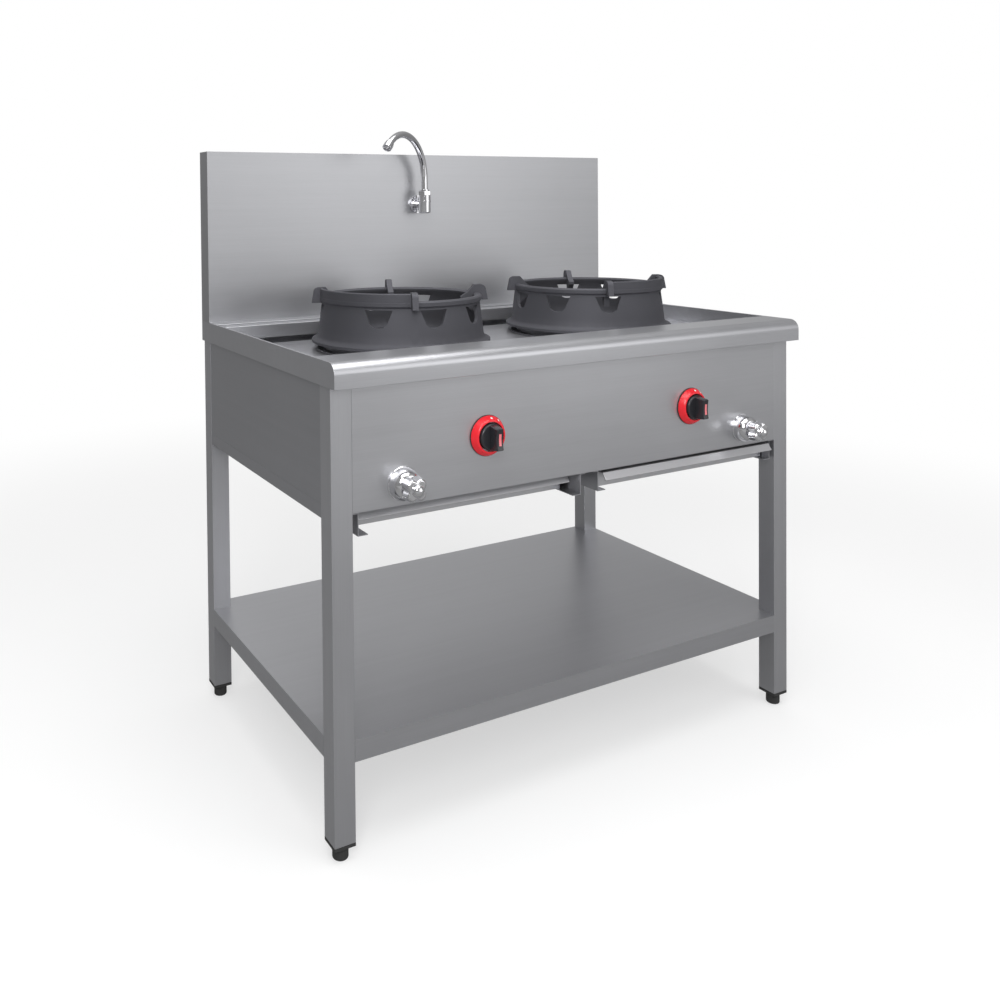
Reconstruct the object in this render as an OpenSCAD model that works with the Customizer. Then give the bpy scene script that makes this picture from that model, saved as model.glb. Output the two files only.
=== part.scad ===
// Two-burner wok range on an open leg frame, with a lower shelf, drip trays and a water spout.
// X runs along the front from left to right, Y from front to back, Z up from the floor.

/* [Frame] */
// Width across the outer faces of the legs
frame_w = 1110; // [1000:10:1400]
// Depth across the outer faces of the legs
frame_d = 650; // [620:10:800]
// Height of the worktop above the floor
work_h = 850; // [820:5:950]
// Side of the square leg tube
leg_size = 40; // [35:1:50]
// Wall of the leg tube
leg_wall = 1.5; // [1:0.25:3]
// Height of the metal end of each leg above the floor
leg_gap = 30; // [26:1:45]
// Thickness of the folded sheet
sheet = 1.5; // [1:0.25:2.5]

/* [Worktop] */
// How far the skirt stands outside the legs on each side
side_overhang = 5; // [4:0.5:20]
// How far the rounded nose stands in front of the legs
nose_reach = 27; // [20:1:45]
// Radius of the rounded nose
nose_r = 20; // [12:1:26]
// Depth of the front shelf from the nose to the basin
nose_d = 87; // [80:1:110]
// Height of the skirt and of the nose
skirt_h = 44; // [40:1:60]
// Depth of the basin below the worktop
basin_h = 38; // [30:1:40]
// Width of the hemmed side rim
hem_w = 5; // [4:0.5:9]

/* [Back of the worktop] */
// Depth of the ledge in front of the splashback
ledge_d = 43; // [30:1:60]
// Width of the groove between ledge and strip
groove_w = 17; // [10:1:25]
// Depth of the groove
groove_h = 8; // [4:1:12]
// Depth of the strip in front of the groove
strip_d = 35; // [20:1:50]
// Height of the drain slot below the back wall of the basin
slot_h = 10; // [6:1:14]
// Distance from the edge of the basin floor to the back wall
slot_d = 16.5; // [10:0.5:25]
// Depth of the gutter below the basin floor
gutter_h = 34; // [25:1:50]
// Radius of the gutter outlet
drain_r = 16; // [12:1:22]

/* [Splashback] */
// Height of the splashback above the worktop
splash_h = 380; // [250:10:500]
// Depth of the splashback box
splash_d = 50; // [40:1:80]
// Width of its folded back edges
splash_fold = 15; // [10:1:25]

/* [Panels and shelf] */
// Height of the front panel below the skirt
front_h = 218; // [200:2:240]
// Depth of the folded edges of the panels
panel_fold = 25; // [18:1:35]
// Height from the lower edge of the front panel up to the side panels
side_step = 13; // [8:1:25]
// Side of the square rails
rail_size = 25; // [20:1:30]
// Wall of the square rails
rail_wall = 1.5; // [1:0.25:2.5]
// How far the side panels lie behind the face of the legs
side_recess = 1; // [0.5:0.5:3]
// Height of the lower shelf above the floor
shelf_z = 204; // [150:1:300]
// Height of its folded edge
shelf_edge = 37; // [25:1:50]
// Width of the inward lip on the folded edge
shelf_lip = 14; // [8:1:20]
// Width of the channel that stiffens the shelf
stiff_w = 60; // [40:1:90]
// Height of the channel that stiffens the shelf
stiff_h = 22; // [15:1:24]

/* [Feet] */
// Radius of the round foot
foot_r = 14; // [12:0.5:17]
// Radius of the bottom rounding of the foot
foot_round = 3; // [1:0.5:5]
// Radius of the threaded stud
stud_r = 5; // [4:0.5:7]
// Length of the stud above the foot
stud_l = 60; // [55:1:75]
// Height of the lip of the leg insert
insert_lip = 6; // [2:0.5:8]
// Height of the insert inside the leg
insert_h = 32; // [25:1:45]

/* [Burners] */
// Distance between the two burner centres
burner_pitch = 500; // [460:5:560]
// How far the pair of burners lies to the right of the middle
burner_off = 5.5; // [0:0.5:12]
// Burner centres from the middle of the frame, negative to the front
burner_y = -25; // [-35:1:-10]
// Outer radius of the burner chamber
chamber_r = 160; // [150:1:163]
// Wall of the burner chamber
chamber_wall = 2; // [1.5:0.5:4]
// Height of the chamber above the basin floor
collar_h = 15; // [8:1:25]
// Height of the chamber below the basin floor
chamber_drop = 112; // [105:1:118]
// Width of the chamber's flange on the basin floor
chamber_flange = 14; // [8:1:20]
// Width of the ring at the bottom of the chamber
chamber_seat = 38; // [28:1:45]
// Radius of the outer gas ring of the burner
gas_ring_r = 85; // [75:1:95]
// Radius of the inner gas ring of the burner
gas_ring_in_r = 45; // [38:1:52]
// Radius of the cast gas passages
gas_tube_r = 11; // [9:0.5:13]
// Radius of the burner hub
hub_r = 30; // [24:1:34]
// Height of a burner jet
jet_h = 34; // [24:1:40]
// Radius of a burner jet
jet_r = 4.5; // [3.5:0.5:6]

/* [Wok rings] */
// Radius of the base flange of the wok ring
ring_flange_r = 185; // [180:1:195]
// Height from the flange to the rim
ring_h = 95; // [80:1:120]
// Outer radius of the wall above the flange
ring_base_r = 172; // [168:1:176]
// Outer radius of the wall below the rim
ring_top_r = 164; // [160:1:167]
// Thickness of the cast wall
ring_wall = 6; // [4:0.5:8]
// Height of the rim band
rim_h = 12; // [9:1:20]
// How far the rim band stands out from the wall
rim_step = 4; // [2:0.5:6]
// Height of the horns above the rim
horn_h = 17; // [12:1:24]
// Height of the raised guard between two horns above the rim
guard_h = 15; // [4:1:16]
// Thickness of a horn
horn_t = 12; // [6:0.5:14]
// Reach of a horn inside the wall
horn_in = 30; // [18:1:36]
// Width of a window at its top
window_w = 56; // [40:1:64]
// Width of a window at its bottom
window_low_w = 38; // [24:1:40]
// Height of a window
window_h = 35; // [25:1:44]
// Pitch of the windows in degrees
window_pitch = 38; // [34:1:40]

/* [Gas knobs] */
// Height of the knobs above the lower edge of the front panel
knob_up = 101; // [95:1:120]
// Distance between the two knobs
knob_pitch = 506; // [490:2:520]
// How far the pair of knobs lies to the right of the middle
knob_off = 13; // [0:1:15]
// Outer radius of the bezel
bezel_r = 37.5; // [34:0.5:42]
// Front radius of the bezel
bezel_front_r = 29; // [28:0.5:32]
// Height of the bezel
bezel_h = 12; // [8:0.5:14]
// Thickness of the dark rim behind the bezel
bezel_rim_t = 2; // [1:0.5:3]
// Radius of the knob
knob_r = 24.5; // [22:0.5:26]
// Thickness of the round part of the knob
knob_t = 10; // [9:0.5:14]
// Height of the grip bar above the round part
grip_h = 24; // [16:0.5:30]
// Width of the grip bar
grip_w = 14; // [9:0.5:18]
// Length of the grip bar at its front
grip_l = 38; // [32:1:42]
// Depth of the hollow in the front of the grip bar
grip_dip = 2.5; // [0.5:0.5:4]
// Travel of the knob when it is pressed
press = 4; // [3:0.5:5]
// Radius of the gas spindle
spindle_r = 4; // [3:0.25:5]

/* [Gas pipes] */
// Outer radius of the gas pipe
gas_r = 13.4; // [10:0.1:14]
// Drop from the knobs to the gas pipe
gas_drop = 33; // [31:1:34]
// Distance of the gas pipe behind the front panel
gas_back = 33; // [30:1:45]
// Distance of the gas inlet inside the outer face of the legs
gas_inlet_in = 85; // [70:1:92]
// Outer radius of the burner feed pipe
feed_r = 6; // [5:0.5:7]
// Wall of the pipes
pipe_wall = 1.5; // [1:0.25:2]

/* [Water taps] */
// Distance of each tap in from the outer face of the legs
tap_in = 138; // [125:1:150]
// Height of the taps above the lower edge of the front panel
tap_up = 39; // [35:1:44]
// Radius of the bell cover at the panel
bell_r = 30; // [26:0.5:34]
// Radius of the bell cover at its front
bell_front_r = 13; // [12.5:0.5:15]
// Height of the bell cover
bell_h = 28; // [22:0.5:32]
// Reach of the tap handles and of the rear inlets from the legs
reach = 60; // [55:1:75]
// Radius across the lobes of the tap handle
handle_r = 24; // [20:0.5:28]
// Radius of one lobe
lobe_r = 7; // [5:0.5:9]
// Length of the lobed part of the handle
handle_l = 21; // [15:0.5:23]
// Outer radius of the water pipe
water_r = 7.5; // [6:0.5:8]

/* [Spout] */
// Distance of the spout to the left of the middle
spout_left = 20; // [0:1:60]
// Height of the spout's wall connection above the worktop
spout_up = 259; // [180:1:300]
// Distance of the spout's axis from the splashback
spout_off = 35; // [30:1:50]
// Outer radius of the spout tube
spout_r = 8; // [7:0.5:9]
// Radius of the gooseneck bend
bend_r = 100; // [80:1:120]
// Angle of the gooseneck bend
bend_deg = 133; // [110:1:170]
// Height from the wall connection to the bend
spout_rise = 63; // [50:1:120]
// Angle by which the spout is swung to the left
swing_deg = 60; // [0:1:80]
// Radius of the spout body
spout_body_r = 15; // [14:0.5:18]
// Radius of the wall flange
wall_flange_r = 22; // [20:0.5:28]
// Radius of the aerator
aerator_r = 11; // [10:0.5:14]
// Length of the aerator
aerator_l = 18; // [14:1:24]

/* [Drip trays] */
// Distance from the middle to a drip tray
tray_in = 34; // [28:1:45]
// Distance of the outer side of a drip tray in from the outer face of the legs
tray_out = 55; // [55:1:90]
// Depth of the tray pan from front to back
tray_d = 560; // [500:5:565]
// Height of the tray
tray_h = 33; // [25:1:34]
// Distance from the front lip to the pan
lip_d = 30; // [20:1:40]
// Height of the sloped lip
lip_h = 13; // [8:1:18]
// Depth of the sloped lip
lip_slope = 9; // [5:1:14]
// Distance of a closed tray behind the ends of the runners
tray_set = 16; // [0:1:20]
// How far the right tray is pulled out
tray_pull = 26; // [0:1:60]
// Half the distance between the two inner runners
runner_in = 22.5; // [18:0.5:40]
// Height of a runner
runner_h = 40; // [36:1:48]
// Width of the runner's lower flange
runner_w = 18; // [12:1:24]
// Width of the runner's upper flange
runner_top_w = 12; // [8:1:14]

/* [Hidden] */
$fn = 64;

// Overrun of every cut past the face it opens
over = 1;
// Clearance of a stud or shaft that turns or slides in its bore
run_gap = 0.05;
// Clearance between a resting piece and the piece that carries it
rest_gap = 0.3;
// Clearance of a plug or bush in its hole
fit_gap = 0.2;

// Half sizes and faces of the frame
half_w = frame_w / 2;
half_d = frame_d / 2;
leg_in = half_w - leg_size;
leg_in_y = half_d - leg_size;

// Faces of the worktop
top_half = half_w + side_overhang;
tap_x = half_w - tap_in;
tray_far = half_w - tray_out;
under_z = work_h - sheet;
skirt_z = work_h - skirt_h;
floor_z = work_h - basin_h;
nose_y = -half_d - nose_reach;
basin_front = nose_y + nose_d;
basin_half = top_half - hem_w;
splash_y = half_d - splash_d;
groove_back = splash_y - ledge_d;
groove_front = groove_back - groove_w;
hood_y = groove_front - strip_d;
floor_back = hood_y - slot_d;
nose_fold = 22;
floor_fold = 10;

// Gutter, whose front wall hangs below the basin floor and whose back wall below the ledge
gutter_lap = 6;
gutter_front = floor_back - gutter_lap;
gutter_back = groove_back + gutter_lap;
gutter_z = floor_z - gutter_h;
gutter_end = 12;
gutter_half = basin_half - gutter_end;
fold_half = gutter_half - sheet - rest_gap;
drain_in = 60;
drain_gap = 6;
drain_x = gutter_half - drain_in;
drain_y = (gutter_front + gutter_back) / 2;
drain_z = gutter_z - drain_r - drain_gap;
bead_up = 1.5;
bead_t = 3;
bead_out = 8;

// Lower edges of the panels
panel_z = skirt_z - front_h;
side_z = panel_z + side_step;
rail_top_z = floor_z - sheet;

// Burners
function burner_x(sx) = sx * burner_pitch / 2 + burner_off;
function knob_x(sx) = sx * knob_pitch / 2 + knob_off;
collar_z = floor_z + collar_h;
chamber_z = floor_z - chamber_drop;
chamber_in_r = chamber_r - chamber_wall;
seat_in_r = chamber_r - chamber_seat;
seat_z = chamber_z + chamber_wall;
deck_hole_r = chamber_r + fit_gap;
ring_tube_z = seat_z + gas_tube_r;
boss_r = 8;
boss_h = 15;
jet_z = ring_tube_z + boss_h;
hex_r = 7;
hex_h = 7;
jet_tip_h = 6;
jet_tip_r = 2.2;
foot_bar_w = 16;
foot_bar_h = 9;
outer_jets = 12;
inner_jets = 6;
burner_arms = 6;
arm_share = 0.8;
burner_feet = 3;

// Wok rings
spigot_h = 6;
spigot_wall = 4;
spigot_gap = 1.5;
spigot_r = chamber_in_r - spigot_gap;
flange_t = 5;
flange_foot = 9;
rim_in = 5;
rim_bevel = 3;
horn_out = ring_flange_r;
horn_round = 11;
horn_root = 34;
horn_lap = 3;
horn_flat = 8;
guard_set = 0.4;
guard_edge = 1.6;
guard_slope = 3;
guard_seat = 6;
horn_lean = 4;
horn_mid_share = 0.5;
horn_rise_share = 0.1;
horn_nose_share = 0.7;
window_arc_h = 12;
window_drop = 1.2;
window_steps = 8;
horns = 4;
// Turn of each wok ring on its burner, as it was put down
ring_turn_left = 249;
ring_turn_right = 335;
window_first = -24;
windows_group = 4;

// Gas line
knob_z = panel_z + knob_up;
gas_z = knob_z - gas_drop;
panel_back = -half_d + sheet;
gas_y = panel_back + gas_back;
gas_x = half_w - gas_inlet_in;
gas_stub = 30;
gas_left = knob_x(-1) - gas_stub;
valve_r = 14;
valve_gap = 6;
valve_front = panel_back + valve_gap;
valve_l = 46;
valve_back = valve_front + valve_l;
valve_nose_r = 8;
nipple_r = 9;
nipple_flange_r = 13;
nipple_flange_t = 5;
saddle_gap = 2;
nipple_top = knob_z - valve_r - saddle_gap;
spindle_in = 30;
spindle_flat = 1;
hole_gap = 2;
pipe_hole_gap = 4;
inlet_boss_r = 11;
inlet_boss_l = 15;
feed_end = burner_y - hub_r - inlet_boss_l;
feed_under = 6;

// Knobs, measured forward from the face of the panel
bezel_wall = 2;
bezel_lip = 1.5;
knob_gap = 1;
bezel_hole_r = max(knob_r + knob_gap, bezel_front_r - bezel_wall);
knob_back = 8;
knob_taper = 1;
knob_edge = 2;
knob_face = knob_back + knob_t;
knob_front = knob_face + grip_h;
grip_foot = 1.5;
dip_r = (grip_l * grip_l / 4 + grip_dip * grip_dip) / (2 * grip_dip);
grip_wall = 3;
bore_spare = 1;
spindle_front = knob_front - grip_wall - bore_spare - press;
knob_bore_end = spindle_front + press + bore_spare;
knob_hollow_wall = 3;
knob_hollow_r = knob_r - knob_hollow_wall;
knob_hollow_h = 6;
knob_stem_r = 8;

// Taps, measured forward from the face of the panel
tap_z = panel_z + tap_up;
bush_r = 10;
bush_l = 14;
tap_body_r = 12;
tap_body_l = 38;
stem_r = 6;
stem_in = 12;
handle_gap = 1;
handle_back = bell_h + handle_gap;
handle_core_r = 13;
handle_neck = 3;
cap_r = 9.5;
lobes = 4;
handle_front = reach;
dome_h = handle_front - handle_back - handle_l;
dome_share = 0.5;
cap_front_share = 0.8;
lobe_web_share = 0.75;
handle_belly_share = 0.5;
handle_front_share = 0.82;
outlet_drop = 27;
outlet_in = 23;
outlet_y = panel_back + outlet_in;
cross_z = tap_z - outlet_drop;
riser_in = 12.5;
riser_y = splash_y + sheet + riser_in;
joint_in = 2;
joint_y = splash_y + sheet + joint_in;

// Spout
spout_x = -spout_left;
spout_y = splash_y - spout_off;
spout_z = work_h + spout_up;
body_low = 20;
body_up = 21;
nut_h = 14;
nut_r = 14;
nut_hex_share = 0.7;
nut_round_share = 0.85;
spigot_pipe_r = 9;
wall_flange_t = 5;
wall_step_share = 0.7;
body_tip_share = 0.6;
bead_share = 0.25;
tube_in = 22;
spout_bore_r = spout_r + run_gap;
ring_bead_h = 3;
ring_bead_r = 1.5;
bend_z = spout_z + spout_rise;
aerator_lap = 6;
aerator_wall = 2;
mesh_t = 2;

// Trays
tray_side_gap = 2.5;
tray_z = panel_z - runner_h + sheet + rest_gap;
runner_z = panel_z - runner_h;
runner_far = tray_far + tray_side_gap;
runner_inset = 3;
runner_front = -half_d + runner_inset;
runner_back = half_d - runner_inset;
stop_in = 34;
stop_y = half_d - stop_in;
tray_lip_y = runner_front + tray_set;
tray_hem = 4;
lip_bend_share = 1.2;
lip_skin_share = 0.6;
lip_top_z = tray_z + tray_h;

// Rectangular block between two corners
module block(low, high) {
  translate(low)
    cube(high - low);
}

// Round bar along Y
module y_bar(r, y0, y1) {
  translate([0, y0, 0])
    rotate([-90, 0, 0])
      cylinder(r = r, h = y1 - y0);
}

// Round bar along X
module x_bar(r, x0, x1) {
  translate([x0, 0, 0])
    rotate([0, 90, 0])
      cylinder(r = r, h = x1 - x0);
}

// Profile drawn in Y and Z, drawn out along X
module along_x(x0, x1) {
  translate([x0, 0, 0])
    rotate([90, 0, 90])
      linear_extrude(x1 - x0)
        children();
}

// Profile drawn in X and Z, drawn out along Y
module along_y(y0, y1) {
  translate([0, y1, 0])
    rotate([90, 0, 0])
      linear_extrude(y1 - y0)
        children();
}

// Revolved profile whose height runs forward from the panel face
module forward(x, z) {
  translate([x, -half_d, z])
    rotate([90, 0, 0])
      children();
}

// Flat rectangle in a profile, from low corner to high corner
module flat(low, high) {
  translate(low)
    square(high - low);
}

// Square leg tube at one corner of the frame
module leg(sx, sy) {
  color("silver")
    translate([sx * (half_w - leg_size / 2), sy * (half_d - leg_size / 2), leg_gap])
      linear_extrude(under_z - leg_gap)
        difference() {
          square(leg_size, center = true);
          square(leg_size - 2 * leg_wall, center = true);
        }
}

// Plastic plug that closes the lower end of a leg and holds the foot
module leg_insert(sx, sy) {
  plug = leg_size - 2 * leg_wall - fit_gap;
  color("dimgray")
    translate([sx * (half_w - leg_size / 2), sy * (half_d - leg_size / 2), 0])
      difference() {
        union() {
          translate([0, 0, leg_gap])
            linear_extrude(insert_h)
              square(plug, center = true);
          translate([0, 0, leg_gap - insert_lip])
            linear_extrude(insert_lip)
              square(leg_size, center = true);
        }
        translate([0, 0, leg_gap - insert_lip - over])
          cylinder(r = stud_r + run_gap, h = insert_lip + insert_h + 2 * over);
      }
}

// Levelling foot with its stud
module foot(sx, sy) {
  foot_h = leg_gap - insert_lip - rest_gap;
  color("black")
    translate([sx * (half_w - leg_size / 2), sy * (half_d - leg_size / 2), 0]) {
      rotate_extrude()
        difference() {
          union() {
            square([foot_r, foot_h]);
            square([stud_r, foot_h + stud_l]);
          }
          difference() {
            translate([foot_r - foot_round, -over])
              square([foot_round + over, foot_round + over]);
            translate([foot_r - foot_round, foot_round])
              circle(foot_round);
          }
        }
    }
}

// Front panel with holes for the gas spindles and the taps
module front_panel() {
  color("gainsboro")
    difference() {
      union() {
        block([-leg_in, -half_d, panel_z], [leg_in, panel_back, under_z]);
        block([-leg_in, -half_d, panel_z], [leg_in, -half_d + panel_fold, panel_z + sheet]);
      }
      for (sx = [-1, 1]) {
        translate([knob_x(sx), 0, knob_z])
          y_bar(spindle_r + hole_gap, -half_d - over, panel_back + over);
        translate([sx * tap_x, 0, tap_z])
          y_bar(bush_r + fit_gap, -half_d - over, panel_back + over);
      }
    }
}

// Side panel between two legs, folded in at its lower and upright edges
module side_panel(sx) {
  face = half_w - side_recess;
  color("gray")
    scale([sx, 1, 1])
      union() {
        block([face - sheet, -leg_in_y, side_z], [face, leg_in_y, rail_top_z]);
        block([face - panel_fold, -leg_in_y, side_z], [face, leg_in_y, side_z + sheet]);
        for (sy = [-1, 1])
          scale([1, sy, 1])
            block([face - panel_fold, leg_in_y - sheet, side_z], [face, leg_in_y, rail_top_z]);
      }
}

// Rear panel with holes for the gas and water inlets and the drain
module rear_panel() {
  color("lightgray")
    difference() {
      union() {
        block([-leg_in, half_d - sheet, panel_z], [leg_in, half_d, under_z]);
        block([-leg_in, half_d - panel_fold, panel_z], [leg_in, half_d, panel_z + sheet]);
      }
      translate([gas_x, 0, gas_z])
        y_bar(gas_r + pipe_hole_gap, half_d - sheet - over, half_d + over);
      translate([drain_x, 0, drain_z])
        y_bar(drain_r + pipe_hole_gap, half_d - sheet - over, half_d + over);
      for (sx = [-1, 1])
        translate([sx * tap_x, 0, tap_z])
          y_bar(water_r + hole_gap, half_d - sheet - over, half_d + over);
    }
}

// Square rail section
module rail_section() {
  difference() {
    square(rail_size, center = true);
    square(rail_size - 2 * rail_wall, center = true);
  }
}

// Rail between two legs at the front or the back, below the worktop
module top_rail(sy) {
  color("silver")
    translate([0, sy * (half_d - sheet - rail_size / 2), rail_top_z - rail_size / 2])
      along_x(-leg_in, leg_in)
        rail_section();
}

// Rail between two legs, below the side panel
module side_rail(sx) {
  color("gray")
    translate([sx * (half_w - side_recess - rail_size / 2), 0, side_z - rail_size / 2])
      along_y(-leg_in_y, leg_in_y)
        rail_section();
}

// Lower shelf, notched at the legs, with folded edges and a stiffening channel
module lower_shelf() {
  low_z = shelf_z - shelf_edge;
  color("lightgray")
    union() {
      difference() {
        block([-half_w, -half_d, shelf_z - sheet], [half_w, half_d, shelf_z]);
        for (sx = [-1, 1], sy = [-1, 1])
          scale([sx, sy, 1])
            block([leg_in, leg_in_y, shelf_z - sheet - over], [half_w + over, half_d + over, shelf_z + over]);
      }
      for (sy = [-1, 1])
        scale([1, sy, 1]) {
          block([-leg_in, half_d - sheet, low_z], [leg_in, half_d, shelf_z]);
          block([-leg_in, half_d - shelf_lip, low_z], [leg_in, half_d, low_z + sheet]);
        }
      for (sx = [-1, 1])
        scale([sx, 1, 1]) {
          block([half_w - sheet, -leg_in_y, low_z], [half_w, leg_in_y, shelf_z]);
          block([half_w - shelf_lip, -leg_in_y, low_z], [half_w, leg_in_y, low_z + sheet]);
        }
      for (sy = [-1, 1])
        scale([1, sy, 1])
          block([-leg_in, stiff_w / 2 - sheet, shelf_z - stiff_h], [leg_in, stiff_w / 2, shelf_z]);
      block([-leg_in, -stiff_w / 2, shelf_z - stiff_h], [leg_in, stiff_w / 2, shelf_z - stiff_h + sheet]);
    }
}

// Outline of the rounded nose and what lies behind it, down to z and back to y
module nose_outline(y, z, inset) {
  flat([nose_y + nose_r, z], [y, work_h - inset]);
  flat([nose_y + inset, z], [y, work_h - nose_r]);
  translate([nose_y + nose_r, work_h - nose_r])
    circle(nose_r - inset);
}

// Folded section of the worktop in front of the basin
module nose_section() {
  difference() {
    nose_outline(basin_front, skirt_z, 0);
    difference() {
      nose_outline(basin_front - sheet, skirt_z - over, sheet);
      flat([nose_y, skirt_z], [nose_y + nose_fold, skirt_z + sheet]);
    }
    flat([basin_front - 2 * sheet, skirt_z - over], [basin_front + over, floor_z - sheet]);
  }
}

// Folded section of the worktop behind the basin: ledge, groove, strip and back wall
module rear_section() {
  flat([groove_back, under_z], [half_d, work_h]);
  flat([groove_back, work_h - groove_h], [groove_back + sheet, work_h]);
  flat([groove_front - sheet, work_h - groove_h], [groove_back + sheet, work_h - groove_h + sheet]);
  flat([groove_front - sheet, work_h - groove_h], [groove_front, work_h]);
  flat([hood_y, under_z], [groove_front, work_h]);
  flat([hood_y, floor_z + slot_h], [hood_y + sheet, work_h]);
}

// Worktop: rounded nose, side skirts, basin with two burner holes, ledge and drain slot
module worktop() {
  color("silver")
    difference() {
      union() {
        along_x(-top_half, top_half)
          nose_section();
        along_x(-top_half, top_half)
          rear_section();
        block([-basin_half - sheet, basin_front - sheet, floor_z - sheet], [basin_half + sheet, floor_back, floor_z]);
        block([-fold_half, floor_back - sheet, floor_z - floor_fold], [fold_half, floor_back, floor_z]);
        for (sx = [-1, 1])
          scale([sx, 1, 1]) {
            along_x(top_half - sheet, top_half)
              nose_outline(half_d, skirt_z, 0);
            block([basin_half, basin_front - sheet, floor_z - sheet], [basin_half + sheet, hood_y + sheet, work_h]);
            block([basin_half, basin_front - sheet, under_z], [top_half, hood_y + sheet, work_h]);
          }
      }
      for (sx = [-1, 1])
        translate([burner_x(sx), burner_y, floor_z - sheet - over])
          cylinder(r = deck_hole_r, h = sheet + 2 * over);
      translate([spout_x, riser_y, under_z - over])
        cylinder(r = water_r + hole_gap, h = sheet + 2 * over);
    }
}

// Splashback: open-backed box with folded edges, on the back of the worktop
module splashback() {
  top_z = work_h + splash_h;
  color("silver")
    difference() {
      union() {
        block([-top_half, splash_y, work_h], [top_half, splash_y + sheet, top_z]);
        block([-top_half, splash_y, top_z - sheet], [top_half, half_d, top_z]);
        block([-top_half, splash_y, work_h], [top_half, splash_y + splash_fold, work_h + sheet]);
        block([-top_half, half_d - sheet, top_z - splash_fold], [top_half, half_d, top_z]);
        for (sx = [-1, 1])
          scale([sx, 1, 1]) {
            block([top_half - sheet, splash_y, work_h], [top_half, half_d, top_z]);
            block([top_half - splash_fold, half_d - sheet, work_h], [top_half, half_d, top_z]);
          }
      }
      translate([spout_x, 0, spout_z])
        y_bar(spigot_pipe_r + fit_gap, splash_y - over, splash_y + sheet + over);
      translate([spout_x, riser_y, work_h - over])
        cylinder(r = water_r + hole_gap, h = sheet + 2 * over);
    }
}

// Drain gutter below the slot, with its outlet
module gutter() {
  end_x = gutter_half;
  color("darkgray")
    difference() {
      union() {
        block([-end_x, gutter_front, gutter_z], [end_x, gutter_back, gutter_z + sheet]);
        block([-end_x, gutter_front, gutter_z], [end_x, gutter_front + sheet, floor_z - sheet]);
        block([-end_x, gutter_back - sheet, gutter_z], [end_x, gutter_back, under_z]);
        for (sx = [-1, 1])
          scale([sx, 1, 1])
            block([end_x - sheet, gutter_front, gutter_z], [end_x, gutter_back, floor_z - sheet]);
        translate([drain_x, drain_y, drain_z]) {
          cylinder(r = drain_r, h = gutter_z - drain_z + sheet / 2);
          sphere(r = drain_r);
        }
        translate([drain_x, 0, drain_z]) {
          y_bar(drain_r, drain_y, half_d + reach);
          y_bar(drain_r + bead_up, half_d + bead_out, half_d + bead_out + bead_t);
        }
      }
      translate([drain_x, drain_y, drain_z]) {
        cylinder(r = drain_r - sheet, h = gutter_z - drain_z + sheet + over);
        sphere(r = drain_r - sheet);
      }
      translate([drain_x, 0, drain_z])
        y_bar(drain_r - sheet, drain_y, half_d + reach + over);
    }
}

// Round burner chamber that hangs in the basin floor and stands above it as a collar
module chamber(sx) {
  color("dimgray")
    translate([burner_x(sx), burner_y, 0])
      rotate_extrude($fn = 96) {
        flat([chamber_in_r, chamber_z], [chamber_r, collar_z]);
        flat([chamber_in_r, floor_z], [chamber_r + chamber_flange, floor_z + chamber_wall]);
        flat([seat_in_r, chamber_z], [chamber_r, seat_z]);
      }
}

// Places of the jets, as radius and angle: the two rings and the middle
jet_places = concat(
  [for (i = [0 : outer_jets - 1]) [gas_ring_r, i * 360 / outer_jets]],
  [for (i = [0 : inner_jets - 1]) [gas_ring_in_r, i * 360 / inner_jets]],
  [[0, 0]]
);

// Cast burner: hub, gas rings, arms, jet bosses and three feet on the chamber's seat
module burner(sx) {
  color("darkslategray")
    difference() {
      translate([burner_x(sx), burner_y, 0])
        union() {
          translate([0, 0, knob_z - hub_r / 2])
            cylinder(r = hub_r, h = ring_tube_z - knob_z + hub_r / 2 + gas_tube_r / 2);
          translate([0, 0, ring_tube_z]) {
            rotate_extrude($fn = 96)
              translate([gas_ring_r, 0])
                circle(gas_tube_r);
            rotate_extrude($fn = 96)
              translate([gas_ring_in_r, 0])
                circle(gas_tube_r);
            for (i = [0 : burner_arms - 1])
              rotate([0, 0, i * 360 / burner_arms])
                x_bar(gas_tube_r * arm_share, 0, gas_ring_r);
          }
          for (p = jet_places)
            rotate([0, 0, p[1]])
              translate([p[0], 0, ring_tube_z])
                cylinder(r = boss_r, h = boss_h);
          for (i = [0 : burner_feet - 1])
            rotate([0, 0, 90 + i * 360 / burner_feet])
              block([gas_ring_r, -foot_bar_w / 2, seat_z], [chamber_in_r - foot_bar_h, foot_bar_w / 2, seat_z + foot_bar_h]);
          translate([knob_x(sx) - burner_x(sx), 0, knob_z])
            y_bar(inlet_boss_r, -hub_r - inlet_boss_l, 0);
        }
      translate([knob_x(sx), 0, knob_z])
        y_bar(feed_r - pipe_wall, feed_end - over, burner_y);
    }
}

// Brass jets on the bosses of one burner
module jets(sx) {
  tube_h = jet_h - hex_h - jet_tip_h;
  color("goldenrod")
    translate([burner_x(sx), burner_y, jet_z])
      for (p = jet_places)
        rotate([0, 0, p[1]])
          translate([p[0], 0, 0])
            union() {
              cylinder(r = hex_r, h = hex_h, $fn = 6);
              cylinder(r = jet_r, h = hex_h + tube_h, $fn = 24);
              translate([0, 0, hex_h + tube_h])
                cylinder(r1 = jet_r, r2 = jet_tip_r, h = jet_tip_h, $fn = 24);
            }
}

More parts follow.
